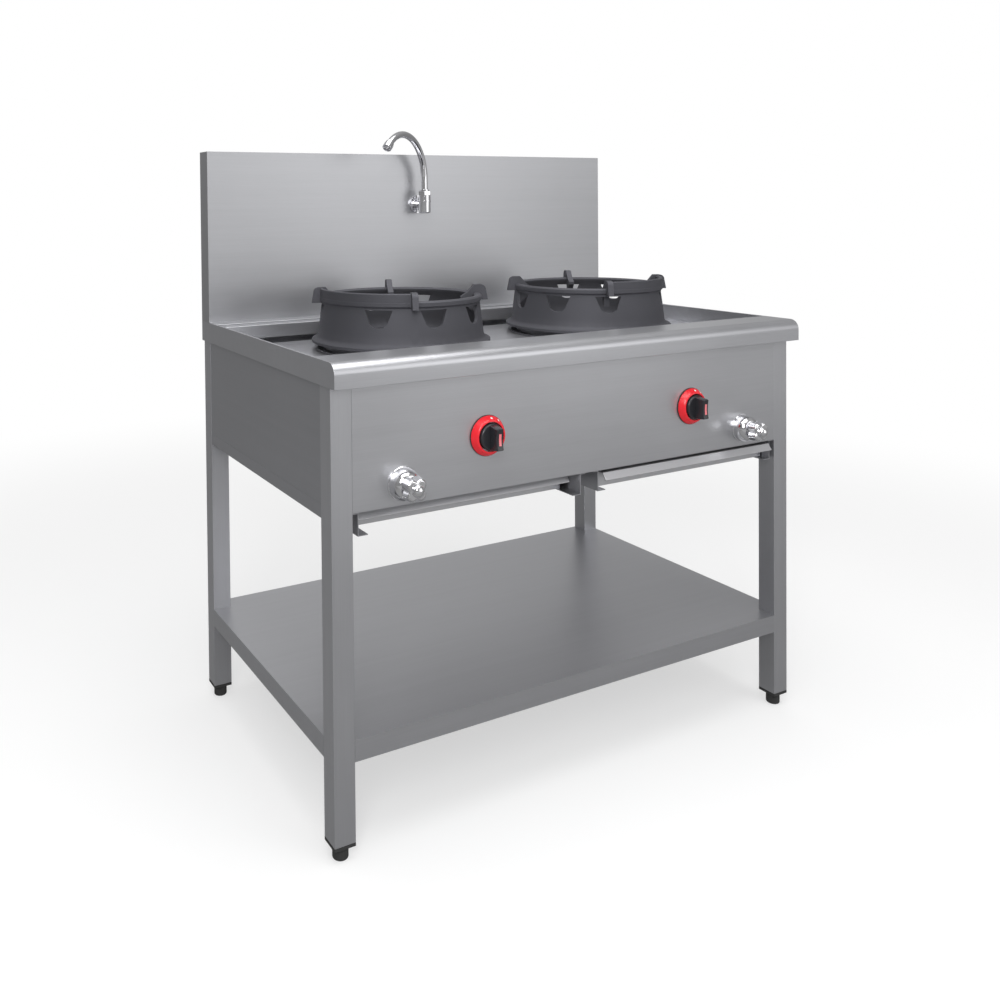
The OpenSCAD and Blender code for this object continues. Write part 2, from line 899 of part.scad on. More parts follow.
// Gas pipe behind the front panel and back to the rear inlet
module gas_manifold() {
  color("darkkhaki")
    difference() {
      union() {
        translate([0, gas_y, gas_z])
          x_bar(gas_r, gas_left, gas_x);
        translate([gas_x, gas_y, gas_z])
          sphere(r = gas_r);
        translate([gas_x, 0, gas_z]) {
          y_bar(gas_r, gas_y, half_d + reach);
          y_bar(gas_r + bead_up, half_d + bead_out, half_d + bead_out + bead_t);
        }
        for (sx = [-1, 1])
          translate([knob_x(sx), gas_y, gas_z]) {
            cylinder(r = nipple_r, h = nipple_top - gas_z);
            translate([0, 0, nipple_top - gas_z - nipple_flange_t])
              cylinder(r = nipple_flange_r, h = nipple_flange_t);
          }
      }
      translate([gas_x, 0, gas_z])
        y_bar(gas_r - pipe_wall, gas_y, half_d + reach + over);
    }
}

// Gas valve behind one knob
module gas_valve(sx) {
  color("goldenrod")
    translate([knob_x(sx), 0, knob_z])
      difference() {
        union() {
          y_bar(valve_r, valve_front, valve_back);
          y_bar(valve_nose_r, panel_back, valve_front + over);
          translate([0, gas_y, nipple_top - knob_z])
            cylinder(r = nipple_flange_r, h = knob_z - nipple_top);
        }
        y_bar(spindle_r + run_gap, panel_back - over, valve_front + spindle_in + over);
      }
}

// Feed pipe from one valve to its burner
module feed_pipe(sx) {
  color("peru")
    translate([knob_x(sx), 0, knob_z])
      difference() {
        union() {
          y_bar(feed_r, valve_back, feed_end);
          y_bar(feed_r + feed_under / 2, valve_back, valve_back + inlet_boss_l);
          y_bar(feed_r + feed_under / 2, feed_end - inlet_boss_l, feed_end);
        }
        y_bar(feed_r - pipe_wall, valve_back - over, feed_end + over);
      }
}

// Gas spindle with its flat
module spindle(sx) {
  color("gold")
    difference() {
      forward(knob_x(sx), knob_z)
        translate([0, 0, -sheet - valve_gap - spindle_in])
          cylinder(r = spindle_r, h = spindle_in + valve_gap + sheet + spindle_front);
      translate([knob_x(sx), -half_d, knob_z])
        block([-spindle_r, -spindle_front - over, spindle_r - spindle_flat],
              [spindle_r, -knob_back, spindle_r + over]);
    }
}

// Dark rim behind the bezel
module bezel_rim(sx) {
  color("black")
    forward(knob_x(sx), knob_z)
      difference() {
        cylinder(r = bezel_r, h = bezel_rim_t);
        translate([0, 0, -over])
          cylinder(r = bezel_hole_r + bezel_wall, h = bezel_rim_t + 2 * over);
      }
}

// Red conical bezel round one knob
module bezel(sx) {
  color("red")
    forward(knob_x(sx), knob_z)
      rotate_extrude($fn = 96)
        polygon([
          [bezel_hole_r, bezel_rim_t],
          [bezel_r - bezel_lip / 2, bezel_rim_t],
          [bezel_r - bezel_lip / 2, bezel_rim_t + bezel_lip],
          [bezel_front_r + bezel_lip, bezel_rim_t + bezel_h - bezel_lip / 2],
          [bezel_front_r, bezel_rim_t + bezel_h],
          [bezel_hole_r, bezel_rim_t + bezel_h]
        ]);
}

// Gas knob: round disc with an upright grip bar, hollow behind, on a flatted spindle
module knob(sx) {
  color("black")
    forward(knob_x(sx), knob_z)
      difference() {
        union() {
          rotate_extrude($fn = 96)
            polygon([
              [0, knob_back],
              [knob_r, knob_back],
              [knob_r - knob_taper / 2, knob_face - knob_edge],
              [knob_r - knob_taper - knob_edge, knob_face],
              [0, knob_face]
            ]);
          intersection() {
            translate([0, 0, knob_back + knob_edge])
              cylinder(r1 = knob_r - grip_foot, r2 = grip_l / 2, h = knob_front - knob_back - knob_edge);
            translate([-grip_w / 2, -knob_r, knob_back])
              cube([grip_w, 2 * knob_r, knob_front]);
          }
        }
        translate([0, 0, knob_front - grip_dip + dip_r])
          x_bar(dip_r, -grip_w, grip_w);
        difference() {
          translate([0, 0, knob_back - over])
            cylinder(r = knob_hollow_r, h = knob_hollow_h + over);
          cylinder(r = knob_stem_r, h = knob_face);
        }
        difference() {
          translate([0, 0, knob_back - over])
            cylinder(r = spindle_r + run_gap, h = knob_bore_end - knob_back + over);
          translate([-spindle_r - over, spindle_r - spindle_flat + run_gap, knob_back + press + over])
            cube([2 * spindle_r + 2 * over, spindle_r, knob_front]);
        }
      }
}

// Tap body behind the panel with its straight inlet pipe to the back
module tap_valve(sx) {
  color("goldenrod")
    translate([sx * tap_x, 0, tap_z])
      difference() {
        union() {
          y_bar(bush_r, -half_d - bush_l, panel_back + over);
          y_bar(tap_body_r, panel_back, panel_back + tap_body_l);
          y_bar(water_r, panel_back + tap_body_l - over, half_d + reach);
          translate([0, outlet_y, -tap_body_r - feed_under])
            cylinder(r = water_r + feed_under / 3, h = tap_body_r + feed_under);
        }
        y_bar(stem_r + run_gap, -half_d - bush_l - over, -half_d - bush_l + stem_in + over);
        y_bar(water_r - pipe_wall, panel_back + tap_body_l, half_d + reach + over);
      }
}

// Bell-shaped cover round one tap
module tap_cover(sx) {
  bore = bush_r + fit_gap;
  color("whitesmoke")
    forward(sx * tap_x, tap_z)
      rotate_extrude($fn = 96)
        difference() {
          flat([0, 0], [bell_r, bell_h]);
          translate([bell_r, bell_h])
            circle(bell_r - bell_front_r);
          flat([-over, -over], [bore, bell_h + over]);
        }
}

// Lobed tap handle with a domed cap, on a stem that turns in the tap body
module tap_handle(sx) {
  color("whitesmoke")
    forward(sx * tap_x, tap_z)
      union() {
        intersection() {
          translate([0, 0, handle_back])
            linear_extrude(handle_l) {
              circle(handle_core_r);
              for (i = [0 : lobes - 1])
                rotate([0, 0, i * 360 / lobes]) {
                  translate([handle_r - lobe_r, 0])
                    circle(lobe_r);
                  flat([0, -lobe_r * lobe_web_share], [handle_r - lobe_r, lobe_r * lobe_web_share]);
                }
            }
          rotate_extrude($fn = 96)
            polygon([
              [0, handle_back],
              [handle_r - handle_neck, handle_back],
              [handle_r, handle_back + handle_neck],
              [handle_r, handle_back + handle_l * handle_belly_share],
              [handle_r * handle_front_share, handle_back + handle_l],
              [0, handle_back + handle_l]
            ]);
        }
        translate([0, 0, handle_back])
          cylinder(r = cap_r, h = handle_l + dome_h * dome_share);
        translate([0, 0, handle_back + handle_l + dome_h * dome_share])
          cylinder(r1 = cap_r, r2 = cap_r * cap_front_share, h = dome_h * (1 - dome_share));
        translate([0, 0, bush_l - stem_in])
          cylinder(r = stem_r, h = handle_back - bush_l + stem_in + over);
      }
}

// Water pipe from both taps to the wall connection of the spout
module spout_feed() {
  color("peru")
    union() {
      for (sx = [-1, 1])
        translate([sx * tap_x, outlet_y, cross_z]) {
          cylinder(r = water_r, h = outlet_drop - tap_body_r - feed_under);
          sphere(r = water_r);
        }
      translate([0, outlet_y, cross_z])
        x_bar(water_r, -tap_x, tap_x);
      translate([spout_x, 0, cross_z])
        y_bar(water_r, outlet_y, riser_y);
      translate([spout_x, riser_y, cross_z]) {
        sphere(r = water_r);
        cylinder(r = water_r, h = spout_z - cross_z);
      }
      translate([spout_x, riser_y, spout_z])
        sphere(r = water_r);
      translate([spout_x, 0, spout_z])
        y_bar(water_r, joint_y, riser_y);
    }
}

// Spout body on its wall flange
module spout_mount() {
  color("whitesmoke")
    translate([spout_x, 0, spout_z])
      difference() {
        union() {
          y_bar(spigot_pipe_r, spout_y, joint_y);
          y_bar(wall_flange_r, splash_y - wall_flange_t, splash_y);
          y_bar(wall_flange_r * wall_step_share, splash_y - 2 * wall_flange_t, splash_y);
          translate([0, spout_y, -body_low])
            cylinder(r = spout_body_r, h = body_low + body_up);
          translate([0, spout_y, -body_low - ring_bead_h])
            cylinder(r1 = spout_body_r * body_tip_share, r2 = spout_body_r, h = ring_bead_h);
          translate([0, spout_y, body_up * bead_share])
            cylinder(r = spout_body_r + ring_bead_r, h = ring_bead_h);
        }
        translate([0, spout_y, body_up - tube_in])
          cylinder(r = spout_bore_r, h = tube_in + over);
      }
}

// Union nut that holds the spout tube
module spout_nut() {
  color("whitesmoke")
    translate([spout_x, spout_y, spout_z + body_up])
      difference() {
        union() {
          cylinder(r = nut_r / cos(30), h = nut_h * nut_hex_share, $fn = 6);
          cylinder(r = nut_r * nut_round_share, h = nut_h);
        }
        translate([0, 0, -over])
          cylinder(r = spout_bore_r, h = nut_h + 2 * over);
      }
}

// Gooseneck tube, swung to the left
module spout_tube() {
  start = body_up - tube_in + rest_gap;
  color("whitesmoke")
    translate([spout_x, spout_y, spout_z])
      rotate([0, 0, -swing_deg])
        difference() {
          union() {
            translate([0, 0, start])
              cylinder(r = spout_r, h = spout_rise - start);
            gooseneck(spout_r);
          }
          translate([0, 0, start - over])
            cylinder(r = spout_r - pipe_wall, h = spout_rise - start + over);
          gooseneck(spout_r - pipe_wall);
        }
}

// Bend of the spout, which rises and turns forward, with a section of radius r
module gooseneck(r) {
  translate([0, -bend_r, spout_rise])
    rotate([0, -90, 0])
      rotate([0, 0, 90])
        rotate_extrude(angle = -bend_deg, $fn = 96)
          translate([bend_r, 0])
            circle(r);
}

// Aerator on the end of the spout
module aerator() {
  color("whitesmoke")
    translate([spout_x, spout_y, spout_z])
      rotate([0, 0, -swing_deg])
        translate([0, -bend_r, spout_rise])
          rotate([bend_deg, 0, 0])
            translate([0, bend_r, 0])
              difference() {
                union() {
                  translate([0, 0, -aerator_lap])
                    cylinder(r = aerator_r - aerator_wall / 2, h = aerator_lap);
                  cylinder(r = aerator_r, h = aerator_l - aerator_lap);
                }
                translate([0, 0, -aerator_lap - over])
                  cylinder(r = spout_r + run_gap, h = aerator_lap + over);
                translate([0, 0, mesh_t])
                  cylinder(r = aerator_r - aerator_wall, h = aerator_l);
              }
}

// Pair of Z-shaped runners for one tray, joined at the back by a stop
module runner(sx) {
  color("gray")
    scale([sx, 1, 1])
      union() {
        along_y(runner_front, runner_back) {
          flat([runner_in - sheet, runner_z], [runner_in, panel_z]);
          flat([runner_in - sheet, runner_z], [runner_in + runner_w, runner_z + sheet]);
          flat([runner_in - runner_top_w, panel_z - sheet], [runner_in, panel_z]);
          flat([runner_far, runner_z], [runner_far + sheet, panel_z]);
          flat([runner_far - runner_w, runner_z], [runner_far + sheet, runner_z + sheet]);
          flat([runner_far, panel_z - sheet], [runner_far + runner_top_w, panel_z]);
        }
        block([runner_in - sheet, stop_y, runner_z], [runner_far + sheet, stop_y + sheet, panel_z]);
      }
}

// Section of the sloped front lip of a tray, from its pan to its hem
module lip_section() {
  y0 = tray_lip_y;
  polygon([
    [y0 + lip_d + sheet, lip_top_z],
    [y0 + lip_slope, lip_top_z],
    [y0, lip_top_z - lip_h],
    [y0 + tray_hem, lip_top_z - lip_h - sheet],
    [y0 + tray_hem, lip_top_z - lip_h],
    [y0 + sheet * lip_bend_share, lip_top_z - lip_h + sheet * lip_skin_share],
    [y0 + lip_slope + sheet * lip_skin_share, lip_top_z - sheet],
    [y0 + lip_d + sheet, lip_top_z - sheet]
  ]);
}

// Drip tray: folded pan with a sloped front lip
module tray(sx) {
  y0 = tray_lip_y + lip_d;
  y1 = y0 + tray_d;
  x0 = tray_in;
  x1 = tray_far;
  pull = sx > 0 ? tray_pull : 0;
  color("darkgray")
    translate([0, -pull, 0])
      scale([sx, 1, 1])
        union() {
          difference() {
            block([x0, y0, tray_z], [x1, y1, lip_top_z]);
            block([x0 + sheet, y0 + sheet, tray_z + sheet], [x1 - sheet, y1 - sheet, lip_top_z + over]);
          }
          along_x(x0, x1)
            lip_section();
        }
}

// Section of the wok ring, height measured from the underside of its flange
module ring_section() {
  band_z = ring_h - rim_h;
  polygon([
    [spigot_r - spigot_wall, -spigot_h],
    [spigot_r, -spigot_h],
    [spigot_r, 0],
    [ring_flange_r, 0],
    [ring_flange_r, flange_t],
    [ring_base_r + flange_t, flange_t + flange_foot / 3],
    [ring_base_r, flange_t + flange_foot],
    [ring_top_r, band_z - rim_step / 2],
    [ring_top_r + rim_step, band_z + rim_step / 2],
    [ring_top_r + rim_step, ring_h - rim_bevel],
    [ring_top_r + rim_step - rim_bevel, ring_h],
    [ring_top_r - ring_wall, ring_h],
    [ring_top_r - ring_wall - rim_in, ring_h - rim_bevel],
    [ring_top_r - ring_wall - rim_in, band_z + rim_step],
    [ring_top_r - ring_wall, band_z - rim_step],
    [ring_base_r - ring_wall, flange_t + flange_foot],
    [ring_base_r - ring_wall - rim_in, flange_t],
    [spigot_r - spigot_wall, flange_t]
  ]);
}

// Outline of one horn in its radial plane: nose outside, slope for the bowl inside
module horn_outline() {
  in_r = ring_top_r - ring_wall - horn_in;
  top = ring_h + horn_h;
  low = ring_h - rim_h - horn_lap;
  difference() {
    polygon([
      [ring_top_r - ring_wall / 2, low - horn_root],
      [ring_top_r - ring_wall / 2, low],
      [horn_out, low],
      [horn_out - horn_lean, top - horn_round],
      [horn_out - horn_lean, top],
      [ring_top_r - horn_flat, top],
      [in_r + horn_in * horn_mid_share, ring_h + horn_h * horn_rise_share],
      [in_r, ring_h - rim_h * horn_nose_share],
      [in_r, low]
    ]);
    difference() {
      flat([horn_out - horn_lean - horn_round, top - horn_round], [horn_out + over, top + over]);
      translate([horn_out - horn_lean - horn_round, top - horn_round])
        circle(horn_round);
    }
  }
}

// Section of the raised guard that joins two horns above the rim
module guard_section() {
  out_r = ring_top_r + rim_step - guard_set;
  in_r = ring_top_r - ring_wall + guard_edge;
  top = ring_h + guard_h;
  polygon([
    [in_r, ring_h - guard_seat],
    [out_r, ring_h - guard_seat],
    [out_r, top - guard_edge],
    [out_r - guard_edge, top],
    [in_r + guard_slope, top],
    [in_r, top - guard_slope]
  ]);
}

// Outline of one window, wide at the top and round at the bottom
module window_outline() {
  top = ring_h - rim_h - rim_step - window_drop;
  low = top - window_h + window_arc_h;
  polygon(concat(
    [[-window_w / 2, top], [window_w / 2, top]],
    [for (i = [0 : window_steps])
      [cos(i * 180 / window_steps) * window_low_w / 2, low - sin(i * 180 / window_steps) * window_arc_h]]
  ));
}

// Cast wok ring with four horns and two groups of windows
module wok_ring(sx, turn) {
  color("darkslategray")
    translate([burner_x(sx), burner_y, collar_z + rest_gap])
      rotate([0, 0, turn])
        difference() {
          union() {
            rotate_extrude($fn = 96)
              ring_section();
            rotate([0, 0, -360 / horns])
              rotate_extrude(angle = 360 / horns, $fn = 96)
                guard_section();
            for (i = [0 : horns - 1])
              rotate([90, 0, i * 360 / horns])
                translate([0, 0, -horn_t / 2])
                  linear_extrude(horn_t)
                    horn_outline();
          }
          for (side = [0, 180], i = [0 : windows_group - 1])
            rotate([90, 0, 90 + side + window_first + i * window_pitch])
              translate([0, 0, ring_top_r - ring_wall - rim_in - over])
                linear_extrude(ring_base_r - ring_top_r + ring_wall + rim_in + 2 * over)
                  window_outline();
        }
}

leg(-1, -1);  // leg_front_left
leg(1, -1);  // leg_front_right
leg(-1, 1);  // leg_rear_left
leg(1, 1);  // leg_rear_right
leg_insert(-1, -1);  // insert_front_left
leg_insert(1, -1);  // insert_front_right
leg_insert(-1, 1);  // insert_rear_left
leg_insert(1, 1);  // insert_rear_right
foot(-1, -1);  // foot_front_left
foot(1, -1);  // foot_front_right
foot(-1, 1);  // foot_rear_left
foot(1, 1);  // foot_rear_right
front_panel();
side_panel(-1);  // side_panel_left
side_panel(1);  // side_panel_right
rear_panel();
top_rail(-1);  // top_rail_front
top_rail(1);  // top_rail_rear
side_rail(-1);  // side_rail_left
side_rail(1);  // side_rail_right
lower_shelf();
worktop();
splashback();
gutter();
chamber(-1);  // chamber_left
chamber(1);  // chamber_right
burner(-1);  // burner_left
burner(1);  // burner_right
jets(-1);  // jets_left
jets(1);  // jets_right
gas_manifold();
gas_valve(-1);  // gas_valve_left
gas_valve(1);  // gas_valve_right
feed_pipe(-1);  // feed_pipe_left
feed_pipe(1);  // feed_pipe_right
spindle(-1);  // spindle_left
spindle(1);  // spindle_right
bezel_rim(-1);  // bezel_rim_left
bezel_rim(1);  // bezel_rim_right
bezel(-1);  // bezel_left
bezel(1);  // bezel_right
knob(-1);  // knob_left
knob(1);  // knob_right
tap_valve(-1);  // tap_valve_left
tap_valve(1);  // tap_valve_right
tap_cover(-1);  // tap_cover_left
tap_cover(1);  // tap_cover_right
tap_handle(-1);  // tap_handle_left
tap_handle(1);  // tap_handle_right
spout_feed();
spout_mount();
spout_nut();
spout_tube();
aerator();
runner(-1);  // runner_left
runner(1);  // runner_right
tray(-1);  // tray_left
tray(1);  // tray_right
wok_ring(-1, ring_turn_left);  // wok_ring_left
wok_ring(1, ring_turn_right);  // wok_ring_right
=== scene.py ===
"""Looks of the two-burner wok range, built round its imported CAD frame.

Sheet, tube and turned pieces are copies of the CAD nodes with rounded folds and rims. Knobs, taps and feet are
built anew with operators. Lengths are in millimetres until a mesh is finished, when it is scaled to metres.
"""
import logging
import math
from dataclasses import dataclass, field
from enum import Enum
from typing import Any, Mapping, Sequence

import bmesh
import bpy
from mathutils import Matrix, Vector


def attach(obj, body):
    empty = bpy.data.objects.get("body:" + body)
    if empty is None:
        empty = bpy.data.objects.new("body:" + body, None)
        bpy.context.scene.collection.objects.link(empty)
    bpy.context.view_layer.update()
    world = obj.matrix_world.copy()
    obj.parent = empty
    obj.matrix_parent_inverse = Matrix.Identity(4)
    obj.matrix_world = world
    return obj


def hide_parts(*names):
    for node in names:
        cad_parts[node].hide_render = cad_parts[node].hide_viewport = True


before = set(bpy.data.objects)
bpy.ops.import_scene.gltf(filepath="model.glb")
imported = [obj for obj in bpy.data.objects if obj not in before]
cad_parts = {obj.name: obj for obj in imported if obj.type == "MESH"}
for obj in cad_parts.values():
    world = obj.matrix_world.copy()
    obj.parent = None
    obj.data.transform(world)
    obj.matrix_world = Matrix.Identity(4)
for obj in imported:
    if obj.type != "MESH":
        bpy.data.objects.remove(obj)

LOG = logging.getLogger("wok_range")
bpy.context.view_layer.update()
MM = 0.001
FULL_TURN = 2.0 * math.pi
QUARTER_TURN = math.pi / 2.0

Colour = tuple[float, float, float]
Point = tuple[float, float]
Place = tuple[float, float, float]
SIDES = {"left": -1, "right": 1}
CORNERS = ("front_left", "front_right", "rear_left", "rear_right")


# --------------------------------------------------------------------------------------------------
# Shader graph
# --------------------------------------------------------------------------------------------------
class Socket:
    """A shader value that takes part in plain arithmetic."""

    def __init__(self, graph: "Graph", port: bpy.types.NodeSocket) -> None:
        """Keep the graph and the output port."""
        self.graph = graph
        self.port = port

    def __add__(self, other: "Socket | float") -> "Socket":
        """Sum."""
        return self.graph.math("ADD", self, other)

    def __sub__(self, other: "Socket | float") -> "Socket":
        """Difference."""
        return self.graph.math("SUBTRACT", self, other)

    def __rsub__(self, other: float) -> "Socket":
        """Difference from a plain number."""
        return self.graph.math("SUBTRACT", other, self)

    def __mul__(self, other: "Socket | float") -> "Socket":
        """Product."""
        return self.graph.math("MULTIPLY", self, other)

    def __pow__(self, other: "Socket | float") -> "Socket":
        """Power."""
        return self.graph.math("POWER", self, other)

    __radd__ = __add__
    __rmul__ = __mul__

    def step(self, low: float, high: float) -> "Socket":
        """Rise smoothly from 0 to 1.

        Args:
            low: The value that gives 0.
            high: The value that gives 1.

        Returns:
            The share.
        """
        return self.graph.add(
            "ShaderNodeMapRange",
            {"interpolation_type": "SMOOTHSTEP"},
            {"Value": self, "From Min": low, "From Max": high},
        )

    def blend(self, dark: "Socket | Colour", light: "Socket | Colour") -> "Socket":
        """Mix two colours by this value.

        Args:
            dark: The colour at 0.
            light: The colour at 1.

        Returns:
            The mixed colour.
        """
        return self.graph.add(
            "ShaderNodeMix",
            {"data_type": "RGBA"},
            {"Factor_Float": self, "A_Color": dark, "B_Color": light},
            "Result_Color",
        )


class Graph:
    """One node tree, filled with nodes by type."""

    def __init__(self, tree: bpy.types.NodeTree) -> None:
        """Clear the tree."""
        self.tree = tree
        tree.nodes.clear()

    @staticmethod
    def port(ports: bpy.types.bpy_prop_collection, key: str) -> bpy.types.NodeSocket:
        """Find a port by identifier or else by name.

        Args:
            ports: The node's inputs or outputs.
            key: Identifier or name.

        Returns:
            The port.
        """
        for one in ports:
            if one.identifier == key:
                return one
        return ports[key]

    def feed(self, port: bpy.types.NodeSocket, value: Any) -> None:
        """Link a socket into a port or set a constant on it.

        Args:
            port: The input.
            value: A Socket, a number, a colour or a vector.
        """
        if isinstance(value, Socket):
            self.tree.links.new(value.port, port)
            return
        if isinstance(value, tuple) and len(value) == 3 and port.type == "RGBA":
            value = (*value, 1.0)
        port.default_value = value

    def add(
        self, kind: str, settings: Mapping[str, Any], values: Mapping[str, Any], out: str | int = 0
    ) -> Socket:
        """Add one node.

        Args:
            kind: The node type.
            settings: Its properties.
            values: Its inputs by identifier or name.
            out: The output wanted, by name, identifier or number.

        Returns:
            That output.
        """
        node = self.tree.nodes.new(kind)
        for key, value in settings.items():
            setattr(node, key, value)
        for key, value in values.items():
            self.feed(self.port(node.inputs, key), value)
        return Socket(self, node.outputs[out] if isinstance(out, int) else self.port(node.outputs, out))

    def math(self, operation: str, first: Any, second: Any) -> Socket:
        """Add one sum of two values.

        Args:
            operation: The Math node's operation.
            first: A socket or a number.
            second: A socket or a number.

        Returns:
            The result.
        """
        node = self.tree.nodes.new("ShaderNodeMath")
        node.operation = operation
        for port, value in zip(node.inputs, (first, second)):
            self.feed(port, value)
        return Socket(self, node.outputs[0])

    def place(self, scale: Place = (1.0, 1.0, 1.0)) -> Socket:
        """Object coordinates in metres, stretched by scale."""
        raw = self.add("ShaderNodeTexCoord", {}, {}, "Object")
        return self.add("ShaderNodeMapping", {}, {"Vector": raw, "Scale": scale})

    def noise(self, where: Socket, pattern: "Pattern") -> Socket:
        """Fractal noise between 0 and 1."""
        values = {"Vector": where, "Scale": pattern.scale, "Detail": pattern.detail, "Roughness": pattern.rough}
        return self.add("ShaderNodeTexNoise", {}, values)

    def cells(self, where: Socket, scale: float, out: str = "Distance") -> Socket:
        """Cell pattern: distance to the nearest cell, or its colour."""
        return self.add("ShaderNodeTexVoronoi", {}, {"Vector": where, "Scale": scale}, out)

    def parts(self, where: Socket) -> tuple[Socket, Socket, Socket]:
        """Take a vector apart.

        Args:
            where: The vector.

        Returns:
            Its x, y and z.
        """
        node = self.tree.nodes.new("ShaderNodeSeparateXYZ")
        self.feed(node.inputs[0], where)
        x, y, z = (Socket(self, port) for port in node.outputs)
        return x, y, z

    def bump(self, height: Socket, strength: float, distance: float) -> Socket:
        """A normal from a height."""
        return self.add("ShaderNodeBump", {}, {"Height": height, "Strength": strength, "Distance": distance})

    def finish(self, shader: Socket, output: str = "ShaderNodeOutputMaterial") -> None:
        """Send a shader to the output."""
        self.feed(self.tree.nodes.new(output).inputs["Surface"], shader)


@dataclass(frozen=True)
class Pattern:
    """Scale, detail and roughness of one noise."""

    scale: float
    detail: float = 4.0
    rough: float = 0.55


BRUSH_LINES = Pattern(1.0, rough=0.7)
BRUSH_BANDS = Pattern(1.0, 2.0)
WEAR_CLOUDS = Pattern(4.0, 3.0)
WIPE_MARKS = Pattern(26.0, rough=0.7)
CAST_LUMPS = Pattern(70.0, 2.0)
HEAT_BLOOM = Pattern(14.0)
WATER_MARKS = Pattern(55.0, rough=0.65)
HAIRLINES = Pattern(1.0, 2.0)
MOULD_SKIN = Pattern(900.0, 2.0)
DUST = Pattern(38.0, rough=0.65)
PIPE_DIRT = Pattern(22.0)


def tint(colour: Colour, share: float) -> Colour:
    """A colour made lighter or darker by a share."""
    return tuple(min(1.0, part * share) for part in colour)


class Grain(Enum):
    """Stretch of the noise that draws brushed lines along one axis, per metre."""

    X = (9.0, 900.0, 900.0)
    Y = (900.0, 9.0, 900.0)
    Z = (900.0, 900.0, 9.0)


@dataclass(frozen=True)
class Finish:
    """A surface finish: a name, a colour and a roughness, with detail added by each kind."""

    name: str
    colour: Colour
    rough: float

    def sockets(self, graph: Graph) -> dict[str, Any]:
        """Values of the surface shader's inputs."""
        raise NotImplementedError

    def material(self) -> bpy.types.Material:
        """Make the material once and hand it out.

        Returns:
            The material.
        """
        made = bpy.data.materials.get(self.name)
        if made is None:
            made = bpy.data.materials.new(self.name)
            made.use_nodes = True
            graph = Graph(made.node_tree)
            graph.finish(graph.add("ShaderNodeBsdfPrincipled", {}, self.sockets(graph)))
        return made


@dataclass(frozen=True)
class Brushed(Finish):
    """Satin sheet metal with fine brushed lines, cloudy wear and faint wipe marks."""

    grain: Grain = Grain.X
    depth: float = 0.1
    cloud: float = 0.07
    metallic: float = 0.88
    band_stretch: float = 0.08
    wipe_stretch: Place = (1.0, 1.0, 1.6)
    wipe_span: Point = (0.58, 0.8)
    tone_span: Point = (0.2, 0.8)
    tones: Point = (0.93, 1.06)

    def sockets(self, graph: Graph) -> dict[str, Any]:
        """Lines, clouds and marks in colour, roughness and bump.

        Args:
            graph: The material's graph.

        Returns:
            Values of the surface shader's inputs.
        """
        lines = graph.noise(graph.place(self.grain.value), BRUSH_LINES)
        broad = tuple(part * self.band_stretch for part in self.grain.value)
        band = graph.noise(graph.place(broad), BRUSH_BANDS)
        cloud = graph.noise(graph.place(), WEAR_CLOUDS)
        marks = graph.noise(graph.place(self.wipe_stretch), WIPE_MARKS).step(*self.wipe_span)
        tone = lines * 0.5 + band * 0.2 + cloud * 0.3
        rough = self.rough + (lines - 0.5) * 0.12 + (cloud - 0.5) * self.cloud + marks * 0.04
        dark, light = (tint(self.colour, share) for share in self.tones)
        return {
            "Base Color": tone.step(*self.tone_span).blend(dark, light),
            "Metallic": self.metallic,
            "Roughness": rough,
            "Normal": graph.bump(lines + band * 0.2, self.depth, 0.0004),
        }


@dataclass(frozen=True)
class Cast(Finish):
    """Sand-cast iron: grains, lumps and pits, with a faint bloom of heat and rust."""

    grit: float = 420.0
    pit_size: float = 300.0
    pit_span: Point = (0.02, 0.34)
    bloom_span: Point = (0.55, 0.8)
    bloom_colour: Colour = (0.17, 0.145, 0.125)
    tone_span: Point = (0.3, 0.72)
    tones: Point = (0.45, 1.9)

    def sockets(self, graph: Graph) -> dict[str, Any]:
        """Grains, lumps and pits in colour, roughness and bump.

        Args:
            graph: The material's graph.

        Returns:
            Values of the surface shader's inputs.
        """
        where = graph.place()
        grit = graph.noise(where, Pattern(self.grit, rough=0.7))
        lump = graph.noise(where, CAST_LUMPS)
        pits = graph.cells(where, self.pit_size).step(*self.pit_span)
        bloom = graph.noise(where, HEAT_BLOOM).step(*self.bloom_span)
        dark, light = (tint(self.colour, share) for share in self.tones)
        grey = (grit * 0.75 + lump * 0.25).step(*self.tone_span).blend(dark, light)
        return {
            "Base Color": (bloom * 0.2).blend(grey, self.bloom_colour),
            "Metallic": 0.8,
            "Roughness": self.rough + (grit - 0.5) * 0.3,
            "Normal": graph.bump(grit * 1.6 + lump * 0.6 + pits * 0.3, 1.0, 0.0022),
        }


@dataclass(frozen=True)
class Plated(Finish):
    """Bright plating or polished metal with faint water marks and hairlines."""

    metallic: float = 1.0
    marks_span: Point = (0.5, 0.78)
    marks_tone: float = 0.86
    hair_stretch: Place = (60.0, 400.0, 1300.0)

    def sockets(self, graph: Graph) -> dict[str, Any]:
        """Water marks and hairlines in roughness and bump.

        Args:
            graph: The material's graph.

        Returns:
            Values of the surface shader's inputs.
        """
        where = graph.place()
        marks = graph.noise(where, WATER_MARKS).step(*self.marks_span)
        hair = graph.noise(graph.place(self.hair_stretch), HAIRLINES)
        return {
            "Base Color": (marks * 0.6).blend(self.colour, tint(self.colour, self.marks_tone)),
            "Metallic": self.metallic,
            "Roughness": self.rough + marks * 0.07 + hair * 0.04,
            "Normal": graph.bump(hair * 0.2 + marks * 0.1, 0.06, 0.0003),
        }


